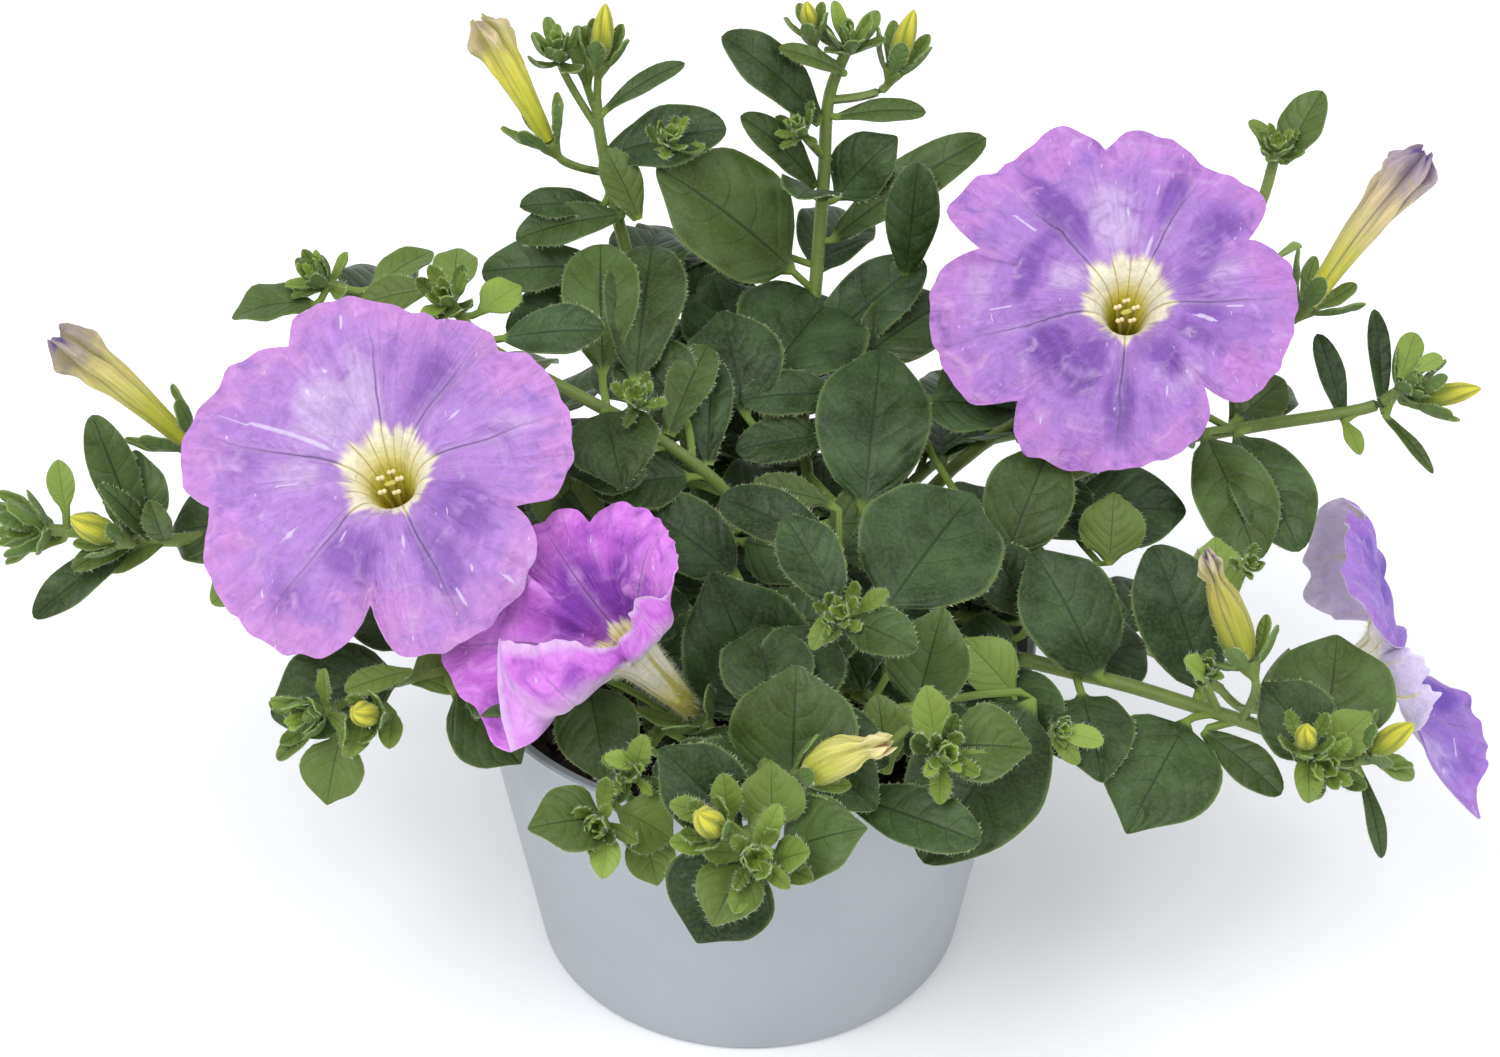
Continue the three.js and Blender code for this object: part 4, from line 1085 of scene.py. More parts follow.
@dataclass(frozen=True)
class Cup:
    """A flower's green cup: place on the stem, seat, direction, length of its sepals and their spread."""

    at: float
    seat: Point
    heading: Point
    sepal: float
    spread: float

    def grow(self, growth: Growth, rng: Chance) -> None:
        """Add the cup and its five sepals.

        Args:
            growth: What they are added to.
            rng: The source of chance.
        """
        axis = unit(self.heading)
        first = square_to(axis, (0.9, 0.1, 0.3))
        second = np.cross(axis, first)
        seat = np.array(self.seat, float)
        x, y, z = THIN_TUBE.places.T
        ring = first * x[:, None] + second * y[:, None]
        radius = 1.0 + 1.7 * np.sin(math.pi / 2 * z) ** 1.5
        places = seat + axis * (-4 + 4.0 * z)[:, None] + ring * radius[:, None]
        growth.add(THIN_TUBE, places, STEM_SLOT)
        for i in range(5):
            turn = 2 * math.pi * (i + 0.5) / 5 + rng.uniform(-0.1, 0.1)
            lean = math.radians(self.spread + rng.uniform(-7, 7))
            out = first * math.cos(turn) + second * math.sin(turn)
            root = seat + out * 1.6 - axis * 0.8
            tip = seat + out * (2.6 + self.sepal * math.sin(lean)) + axis * self.sepal * math.cos(lean)
            Blade(
                root, root, tip, 1.5 + 0.25 * self.sepal, axis - out, fold=0.25, arch=-0.08, youth=0.32,
                chance=rng.random(), thick=0.5, stalk=0.8, outline=Outline.TONGUE,
            ).grow(growth, rng)


@dataclass
class Shoot:
    """A leafy stem with all that grows on it. Its leaves are rows of what a Leaf takes, and the
    undergrowth is a number of low leaves that chance places."""

    name: str
    path: list[Point]
    leaves: list[tuple]
    tufts: list[Tuft] = field(default_factory=list)
    cups: list[Cup] = field(default_factory=list)
    thick: float = 1.5
    facing: Facing = Facing.VIEWER
    undergrowth: int = 6
    seed: int = 1

    def rod(self, growth: Growth, pattern: Pattern, route: Route, radius: Array, rng: Chance) -> None:
        """Add a hairy round rod along a route.

        Args:
            growth: What the rod is added to.
            pattern: The tube that is bent.
            route: The route.
            radius: The rod's radius at its start and its end.
            rng: The source of chance.
        """
        x, y, z = pattern.places.T
        way = route.way(z)
        side = square_to(way, np.where(np.abs(way[:, :1]) > 0.9, (0, 0, 1.0), (1.0, 0.1, 0)))
        over = np.cross(way, side)
        wide = radius[0] + (radius[1] - radius[0]) * z
        places = route.at(z) + (side * x[:, None] + over * y[:, None]) * wide[:, None]
        growth.add(pattern, places, STEM_SLOT)
        long = np.linalg.norm(np.diff(route.at(np.linspace(0, 1, 30)), axis=0), axis=1).sum()
        share = rng.random(int(long * 3.2))
        out = square_to(route.way(share), rng.normal(0, 1, (len(share), 3)))
        feet = route.at(share) + out * (radius[0] + (radius[1] - radius[0]) * share)[:, None] * 0.95
        growth.hairs(feet, out + rng.normal(0, 0.25, out.shape), rng.uniform(0.5, 1.3, len(share)), HAIR_SLOT)

    def side_stalk(self, growth: Growth, start: Array, end: Array, heading: Point, rng: Chance) -> None:
        """Add a thin stalk from the stem to a tuft or a cup, which it meets square.

        Args:
            growth: What the stalk is added to.
            start: Where it leaves the stem.
            end: Where it ends.
            heading: Its direction at the end.
            rng: The source of chance.
        """
        gap = float(np.linalg.norm(end - start))
        bend = end - unit(heading) * gap / 4
        s = np.linspace(0, 1, 6)[:, None]
        points = (1 - s) ** 2 * start + 2 * s * (1 - s) * bend + s**2 * end
        self.rod(growth, THIN_TUBE, Route(points), (1.0, 0.9), rng)

    def build(self) -> None:
        """Build the shoot. The order in which chance is asked sets how each leaf turns out."""
        rng = np.random.default_rng(self.seed)
        growth = Growth()
        route = Route(np.array(self.path, float))
        self.rod(growth, STEM_TUBE, route, (self.thick * 1.05, self.thick * 0.8), rng)
        face = np.array(self.facing.value, float)
        for leaf in (Leaf(*row) for row in self.leaves):
            root = route.at(leaf.at)[0]
            foot = root if leaf.foot is None else np.array(leaf.foot, float)
            size = float(np.linalg.norm(np.array(leaf.tip) - foot))
            youth = float(np.clip(1.12 - size / 17.5, OLDEST, 0.48)) + rng.uniform(-0.06, 0.08)
            Blade(
                root, foot, leaf.tip, leaf.wide, face, fold=leaf.fold, arch=rng.uniform(0.04, 0.1),
                youth=youth, chance=rng.random(), fullness=rng.uniform(0.62, 0.76),
            ).grow(growth, rng)
        for _ in range(self.undergrowth):
            at = rng.uniform(0.14, 0.5)
            root = route.at(at)[0]
            turn = rng.uniform(0, 2 * math.pi)
            out = np.array([math.cos(turn), math.sin(turn), rng.uniform(-0.1, 0.5)])
            foot = root + unit(out) * rng.uniform(4, 9)
            tip = foot + unit(out + (0, 0, -0.15)) * rng.uniform(17, 25)
            wide = rng.uniform(13, 19)
            Blade(root, foot, tip, wide, face, chance=rng.random(), youth=OLDEST).grow(growth, rng)
        for tuft in self.tufts:
            start = route.at(tuft.at)[0]
            if np.linalg.norm(start - np.array(tuft.centre)) > LEAST_STEM:
                self.side_stalk(growth, start, np.array(tuft.centre, float), tuft.heading, rng)
            tuft.grow(growth, rng)
        for cup in self.cups:
            end = np.array(cup.seat) - unit(cup.heading) * 3.6
            self.side_stalk(growth, route.at(cup.at)[0], end, cup.heading, rng)
            cup.grow(growth, rng)
        fit(growth.piece("leafy_" + self.name, GREENERY), self.name)


VIEWER, UP, AWAY = Facing

SHOOTS = [
    Shoot("shoot_front", [(0, -14, 61), (3, -42, 92), (3, -70, 104), (1, -88, 105), (1, -100, 106)], [
        (0.25, (-8, -32, 120), 27), (0.42, (9, -60, 119), 25, (8, -72, 100)),
        (0.78, (-17, -82, 117), 17, (-2, -88, 102)), (0.78, (4, -82, 114), 13, (4, -88, 102)),
        (0.85, (22, -92, 106), 17, (6, -88, 96)), (0.8, (-10, -98, 82), 22, (-1, -88, 97)),
        (0.9, (-7, -110, 98), 13, (-1, -98, 103)), (0.95, (11, -104, 111), 8, (4, -98, 102)),
        (0.9, (-15, -93, 113), 5, (-7, -92, 108)), (0.9, (-5, -90, 118), 6, (-4, -92, 108)),
        (0.9, (-15, -98, 108), 5, (-7, -96, 105)),
    ], [Tuft(1, (1, -100, 106), (0, -0.8, 0.6), 9)], [
        Cup(0.65, (10, -80, 108), (0.85, -0.15, 0.5), 8, 40),
        Cup(0.85, (-6, -97, 110), (-0.5, -0.4, 0.8), 6, 30),
    ], thick=1.6),
    Shoot("shoot_front_left", [
        (-6, -12, 61), (-14, -34, 85), (-21, -54, 92), (-26, -70, 96), (-29, -82, 98),
    ], [
        (0.3, (-28, -64, 92), 17, (-32, -46, 102)), (0.95, (-42, -88, 102), 14, (-28, -80, 97)),
        (0.8, (-15, -78, 90), 13, (-25, -76, 96)), (0.7, (-18, -80, 80), 10, (-21, -74, 90)),
        (0.95, (-28, -91, 92), 6, (-27, -83, 96)), (0.7, (-28, -72, 106), 4, (-22, -70, 102)),
        (0.7, (-20, -70, 110), 5, (-22, -70, 101)),
    ], [Tuft(1, (-29, -82, 98), (-0.1, -0.8, 0.5), 7), Tuft(0.7, (-23, -70, 100), (-0.1, -0.7, 0.6), 6)], [
        Cup(0.38, (-10, -46, 94), (-0.56, -0.14, 0.82), 12, 34),
    ], undergrowth=5),
    Shoot("shoot_front_right", [
        (8, -12, 61), (16, -30, 88), (28, -52, 101), (35, -64, 104), (37, -72, 107),
    ], [
        (0.85, (34, -60, 114), 8, (36, -66, 103)), (0.9, (54, -72, 108), 16, (38, -68, 105)),
        (0.3, (25, -52, 105), 9, (27, -60, 93)), (0.5, (34, -76, 82), 28, (56, -44, 95)),
        (0.62, (44, -84, 95), 13, (19, -70, 94)), (0.5, (38, -42, 119), 17, (33, -50, 100)),
        (0.3, (14, -34, 102), 12),
    ], [Tuft(1, (37, -72, 107), (0.1, -0.7, 0.6), 8)], thick=1.6, undergrowth=5),
    Shoot("shoot_left_front", [
        (-12, -8, 61), (-30, -24, 90), (-52, -36, 98), (-68, -41, 100), (-78, -46, 99), (-85, -51, 99),
    ], [
        (0.62, (-96, -44, 93), 20, (-70, -42, 101)), (0.85, (-84, -60, 83), 13, (-81, -53, 95)),
        (0.6, (-54, -34, 98), 12, (-68, -41, 99)), (0.5, (-46, -50, 85), 18, (-59, -44, 99)),
        (0.65, (-80, -50, 104), 6, (-68, -44, 104)), (0.75, (-71, -58, 96), 5, (-71, -48, 96)),
        (0.8, (-79, -62, 97), 6, (-76, -54, 99)),
    ], [Tuft(1, (-85, -51, 99), (-0.6, -0.7, 0.4), 10)], [
        Cup(0.8, (-74, -54, 101), (-0.5, -0.6, 0.6), 5, 35),
    ]),
    Shoot("shoot_left", [
        (-14, 3, 61), (-34, 3, 88), (-70, 4, 92), (-108, 3, 101), (-122, 0, 103), (-138, 0, 105),
        (-148, 0, 106),
    ], [
        (0.45, (-122, 6, 100), 18, (-105, 2, 106)), (0.42, (-112, -10, 94), 10, (-100, -4, 101)),
        (0.72, (-128, 10, 119), 14), (0.72, (-136, 10, 128), 10), (0.67, (-135, -6, 100), 7),
        (0.72, (-149, -12, 92), 9), (0.9, (-157, 4, 103), 10, (-144, 0, 103)), (0.7, (-133, -6, 122), 5),
        (0.72, (-140, -10, 103), 6), (0.67, (-123, -6, 118), 6), (0.9, (-143, 4, 121), 6, (-142, 0, 111)),
    ], [Tuft(1, (-148, 0, 106), (-0.9, -0.3, 0.3), 11)], [
        Cup(0.32, (-70, -6, 111), (-0.08, -0.5, 0.86), 12, 40),
        Cup(0.48, (-118, 13, 119), (-0.67, 0.12, 0.73), 11, 32),
        Cup(0.75, (-131, -7, 109), (-0.72, -0.25, 0.64), 7, 28),
    ], thick=1.6, undergrowth=7),
    Shoot("shoot_right_front", [
        (12, -4, 61), (42, -18, 87), (70, -30, 91), (90, -38, 90), (104, -43, 88), (112, -48, 86),
        (114, -54, 88),
    ], [
        (0.38, (58, -14, 111), 21, (71, -32, 93)), (0.2, (49, -8, 109), 14, (57, -21, 99)),
        (0.5, (82, -16, 114), 20, (92, -36, 92)), (0.55, (75, -62, 77), 25, (88, -42, 89)),
        (0.6, (106, -56, 82), 9, (92, -42, 86)), (0.8, (120, -24, 97), 26, (116, -44, 84)),
        (0.8, (103, -38, 96), 17, (115, -46, 84)), (0.9, (124, -46, 95), 10, (116, -50, 88)),
        (0.5, (95, -12, 113), 11, (95, -22, 104)), (0.85, (110, -64, 87), 6, (111, -52, 90)),
        (0.95, (128, -56, 65), 4, (123, -50, 82)), (0.95, (133, -52, 83), 5, (124, -50, 87)),
        (0.55, (85, -50, 112), 5, (90, -46, 104)),
    ], [
        Tuft(1, (114, -54, 88), (0, -0.7, 0.6), 8), Tuft(0.52, (101, -18, 110), (0.2, -0.5, 0.8), 5),
        Tuft(0.55, (90, -44, 104), (0, -0.6, 0.8), 5),
    ], [
        Cup(0.6, (99, -42, 105), (-0.4, 0.42, 0.82), 9, 48),
        Cup(0.9, (110, -55, 94), (-0.1, -0.3, 0.95), 6, 35),
        Cup(0.95, (124, -50, 88), (0.72, 0, 0.69), 7, 38),
    ], thick=1.6),
    Shoot("shoot_right_low", [(11, -9, 61), (34, -32, 81), (50, -42, 86), (58, -48, 88), (61, -52, 96)], [
        (0.55, (43, -30, 101), 12, (53, -36, 92)), (0.95, (70, -54, 94), 5, (61, -52, 95)),
        (0.9, (65, -57, 91), 4, (60, -52, 94)),
    ], [Tuft(1, (61, -52, 96), (0.4, -0.6, 0.5), 4)], thick=1.4),
    Shoot("shoot_right", [
        (14, 6, 61), (42, 14, 92), (80, 25, 107), (105, 30, 110), (130, 30, 115), (137, 30, 119),
        (139, 30, 122),
    ], [
        (0.5, (106, -2, 99), 18, (97, 24, 112)), (0.52, (115, 0, 100), 18, (104, 26, 111)),
        (0.5, (116, 44, 113), 12, (104, 34, 108)), (0.66, (122, 44, 125), 6, (127, 30, 112)),
        (0.68, (129, 18, 112), 4, (127, 28, 113)), (0.85, (134, 46, 130), 5, (135, 30, 115)),
        (0.85, (144, 14, 110), 3, (136, 28, 114)), (0.95, (142, 40, 128), 6, (138, 30, 123)),
        (0.95, (147, 34, 126), 4, (141, 30, 125)),
    ], [Tuft(1, (139, 30, 122), (0.8, -0.2, 0.4), 6)], [
        Cup(0.9, (143, 30, 118), (0.93, -0.15, 0.32), 8, 32),
    ], undergrowth=7),
    Shoot("shoot_right_back", [
        (12, 11, 61), (42, 34, 94), (76, 54, 108), (100, 62, 128), (110, 66, 142), (114, 72, 154),
    ], [
        (1, (124, 80, 164), 11, (116, 72, 151)), (0.7, (118, 52, 142), 7, (112, 56, 133)),
        (0.55, (98, 86, 122), 18, (90, 66, 118)), (0.42, (58, 82, 104), 20, (66, 56, 104)),
        (0.3, (72, 62, 92), 18, (52, 44, 100)), (1, (108, 76, 159), 6, (114, 72, 151)),
    ], [Tuft(1, (114, 72, 154), (0, -0.3, 0.95), 6)], [
        Cup(0.42, (80, 44, 121), (-0.05, -0.58, 0.81), 12, 40),
        Cup(0.62, (119, 42, 134), (0.6, 0.25, 0.76), 11, 42),
    ], facing=UP),
    Shoot("shoot_right_hidden", [(14, -1, 61), (40, -6, 86), (72, -9, 86), (92, -9, 76), (100, -9, 70)], [
        (0.3, (48, 18, 98), 18), (0.55, (88, 14, 80), 18), (0.75, (104, 8, 62), 16), (0.4, (66, 10, 90), 16),
    ], [], [Cup(1, (110, -9, 66), (0.9, 0.05, 0.42), 11, 34)], facing=UP, undergrowth=5),
    Shoot("shoot_centre", [(6, -3, 61), (12, -12, 90), (17, -28, 108), (18, -47, 121)], [
        (1, (7, -30, 132), 13, (17, -44, 121)), (1, (32, -58, 121), 11, (19, -46, 119)),
        (0.7, (46, -4, 118), 30, (27, -32, 110)), (0.68, (-6, -12, 123), 12, (17, -26, 121)),
        (0.55, (0, -2, 118), 8, (16, -4, 116)), (0.95, (12, -53, 117), 4, (16, -46, 121)),
        (1, (27, -46, 126), 4, (21, -46, 121)),
    ], [Tuft(1, (18, -47, 121), (-0.1, -0.6, 0.8), 6)]),
    Shoot("shoot_inner_left", [(-3, -3, 61), (-6, -12, 84), (-5, -22, 90), (-2, -30, 91)], [
        (0.5, (-37, 6, 118), 15, (-38, 0, 104)), (0.6, (-40, 2, 113), 12, (-23, -4, 102)),
        (0.75, (-23, 0, 112), 17, (-3, -12, 103)),
    ], undergrowth=8),
    Shoot("shoot_inner_right", [(10, 2, 61), (34, 6, 90), (58, 9, 98), (70, 10, 101)], [
        (0.55, (57, 22, 120), 19, (38, 26, 120), 0.75), (0.6, (63, 12, 119), 19, (53, -6, 103)),
        (0.9, (92, 10, 103), 19, (67, 8, 104)), (0.9, (76, 6, 111), 14, (75, -3, 100)),
    ], undergrowth=7),
    Shoot("shoot_centre_back", [(4, 9, 61), (11, 16, 88), (12, 28, 104), (6, 36, 114)], [
        (0.6, (28, 38, 125), 25, (24, 9, 105)), (1, (18, 62, 122), 30, (4, 37, 119)),
        (0.65, (-2, 25, 121), 11, (20, 32, 117)), (0.8, (-3, 18, 113), 11, (17, 22, 114)),
        (0.7, (44, 60, 123), 18, (24, 46, 117)), (0.7, (-6, 44, 131), 21, (-1, 24, 119)),
        (0.8, (-8, 62, 127), 21, (-2, 46, 116)), (0.5, (30, 12, 96), 16, (16, 4, 104)),
    ], undergrowth=7),
    Shoot("shoot_centre_left", [
        (-5, 6, 61), (-7, 9, 92), (-4, 8, 107), (-17, 9, 121), (-38, 15, 131), (-55, 25, 135), (-63, 34, 140),
    ], [
        (0.6, (-32, 53, 142), 17, (-31, 24, 129)), (0.55, (-21, 55, 140), 18, (-24, 22, 128)),
        (0.85, (-30, 19, 143), 12, (-51, 25, 137)), (0.62, (-26, -8, 122), 20, (-30, 11, 128)),
        (0.5, (-9, 32, 130), 10, (-17, 11, 122)), (0.42, (-8, 32, 127), 10, (-9, 10, 115)),
        (0.95, (-49, 46, 136), 9, (-57, 38, 135)), (1, (-83, 42, 134), 9, (-68, 42, 138)),
        (1, (-63, 56, 139), 10, (-63, 42, 137)), (0.45, (-26, 34, 130), 18, (-14, 17, 123)),
    ], [Tuft(0.58, (-23, 8, 133), (0, -0.5, 0.85), 6), Tuft(1, (-63, 34, 140), (-0.2, -0.5, 0.8), 8)]),
    Shoot("shoot_back_left", [(-12, 13, 61), (-42, 32, 98), (-72, 46, 120), (-86, 52, 130), (-92, 52, 133)], [
        (0.95, (-111, 44, 129), 14, (-94, 48, 130)), (0.9, (-69, 61, 135), 10, (-81, 50, 133)),
        (0.7, (-80, 76, 120), 18), (0.5, (-62, 64, 96), 18), (0.6, (-88, 34, 104), 16),
    ], [Tuft(1, (-92, 52, 133), (-0.4, -0.3, 0.85), 8)], facing=UP, undergrowth=7),
    Shoot("shoot_back_left_tall", [
        (-5, 15, 61), (-14, 42, 98), (-27, 61, 136), (-32, 70, 157), (-33, 73, 166),
    ], [
        (0.74, (-5, 66, 163), 15, (-31, 68, 155)), (0.62, (-49, 54, 151), 8, (-32, 64, 145)),
        (0.56, (-50, 52, 144), 10, (-28, 60, 145)), (0.6, (-31, 66, 158), 9, (-24, 58, 146)),
        (0.38, (-58, 56, 133), 13, (-32, 52, 137)), (0.45, (-20, 80, 128), 18), (0.3, (-34, 66, 104), 18),
        (0.85, (-14, 78, 172), 5, (-31, 72, 164)), (0.9, (-36, 78, 181), 6, (-35, 76, 168)),
    ], [Tuft(0.8, (-41, 76, 175), (-0.1, -0.1, 1), 8), Tuft(0.7, (-17, 62, 162), (0.1, -0.4, 0.9), 6)], [
        Cup(0.66, (-43, 64, 161), (-0.5, 0.12, 0.85), 9, 36),
        Cup(0.95, (-32, 74, 175), (0.12, 0.1, 1), 8, 22),
    ]),
    Shoot("shoot_back_tall", [
        (5, 17, 61), (11, 46, 96), (14, 60, 122), (16, 72, 146), (17, 78, 163), (21, 80, 175),
    ], [
        (0.76, (-6, 72, 182), 13, (15, 76, 159)), (0.6, (-2, 68, 165), 9, (14, 72, 145)),
        (0.5, (51, 72, 157), 12, (18, 66, 135)), (0.56, (32, 76, 155), 15, (19, 72, 142)),
        (0.58, (10, 46, 158), 13, (15, 70, 143)), (0.42, (-20, 62, 156), 28, (9, 60, 131)),
        (0.35, (36, 64, 156), 12, (34, 60, 130)), (0.3, (38, 62, 132), 16), (0.45, (22, 88, 128), 18),
        (0.9, (6, 74, 178), 5, (20, 76, 171)), (0.76, (38, 76, 161), 6, (19, 76, 160)),
    ], [Tuft(1, (21, 80, 175), (0, -0.2, 1), 9), Tuft(0.65, (11, 70, 160), (-0.3, -0.4, 0.8), 6)], [
        Cup(0.8, (31, 78, 171), (0.3, 0.12, 0.95), 9, 30), Cup(0.92, (13, 80, 179), (-0.15, 0, 1), 5, 25),
    ], thick=1.6),
    Shoot("shoot_side_left", [(-17, 9, 61), (-50, 26, 86), (-84, 36, 84), (-103, 41, 80)], [
        (0.3, (-38, 46, 100), 20), (0.5, (-58, 56, 92), 20), (0.6, (-86, 14, 82), 17),
        (0.75, (-92, 60, 78), 18), (1, (-124, 46, 72), 17),
    ], [Tuft(1, (-103, 41, 80), (-0.8, 0.3, 0.4), 7)], thick=1.4, facing=AWAY, undergrowth=7),
    Shoot("shoot_behind_left", [(-12, 20, 61), (-36, 48, 86), (-60, 74, 86), (-72, 89, 79)], [
        (0.28, (-10, 54, 100), 20), (0.35, (-52, 42, 104), 18), (0.5, (-22, 74, 94), 20),
        (0.6, (-76, 58, 84), 18), (0.75, (-46, 98, 80), 19), (1, (-88, 104, 66), 18),
    ], [Tuft(1, (-72, 89, 79), (-0.5, 0.7, 0.4), 7)], thick=1.4, facing=AWAY, undergrowth=8),
    Shoot("shoot_behind", [(-1, 22, 61), (2, 52, 87), (6, 80, 89), (8, 97, 83)], [
        (0.26, (-20, 44, 98), 18), (0.38, (26, 58, 100), 20), (0.5, (30, 78, 94), 20),
        (0.65, (-18, 90, 86), 19), (0.8, (32, 98, 80), 19), (1, (0, 118, 66), 18),
    ], [Tuft(1, (8, 97, 83), (0.1, 0.8, 0.4), 7)], thick=1.4, facing=AWAY, undergrowth=8),
    Shoot("shoot_behind_right", [(14, 19, 61), (38, 46, 86), (66, 66, 84), (83, 78, 77)], [
        (0.28, (18, 60, 98), 18), (0.36, (62, 40, 102), 18), (0.5, (42, 80, 90), 20), (0.6, (76, 44, 84), 17),
        (0.78, (66, 94, 74), 18), (1, (104, 86, 64), 18),
    ], [Tuft(1, (83, 78, 77), (0.6, 0.6, 0.4), 7)], thick=1.4, facing=AWAY, undergrowth=8),
]


# Flowers


class Tint(Enum):
    """A soft patch on a petal and the channel that carries it: a colour, a scratch or small folds."""

    PALE = 0
    DEEP = 1
    ROSY = 2
    WHITE = 3
    PUCKER = 4


# The mouth's share of the way from a flower's seat to its edge, the shares of the way across a limb at
# which its meridians are given, and the millimetres and the widths that a mark of 1 stands for
MOUTH = 0.25
FLAT_SHARES = (0, 0.08, 0.25, 0.5, 0.75, 1)
NET_SHARES = (0, 0.25, 0.5, 0.75, 1)
REACH_MARK = 60
SCRATCH_MARK = 20


@dataclass(frozen=True)
class Patch:
    """A soft patch on a limb: its angle, distance from the axis, and half its length and breadth."""

    angle: float
    reach: float
    along: float
    across: float
    strength: float = 1.0


@dataclass(frozen=True)
class Meridian:
    """A line from the mouth to the edge of a limb: its place round the ring in degrees, and at each
    share of its way the angle, the distance from the axis and the height over the mouth."""

    place: float
    angles: float | tuple
    reaches: tuple
    heights: tuple

    def points(self) -> Array:
        """Give the angle, distance and height of each point."""
        return np.stack(np.broadcast_arrays(self.angles, self.reaches, self.heights), 1).astype(float)


def apart(place: Array, other: float) -> Array:
    """Give the angles in radians, from minus to plus half a turn, from a place round the ring to others.

    Args:
        place: The others, in degrees.
        other: The place that they are counted from, in degrees.

    Returns:
        The angles.
    """
    return ((place - other + 180) % 360 - 180) * math.pi / 180


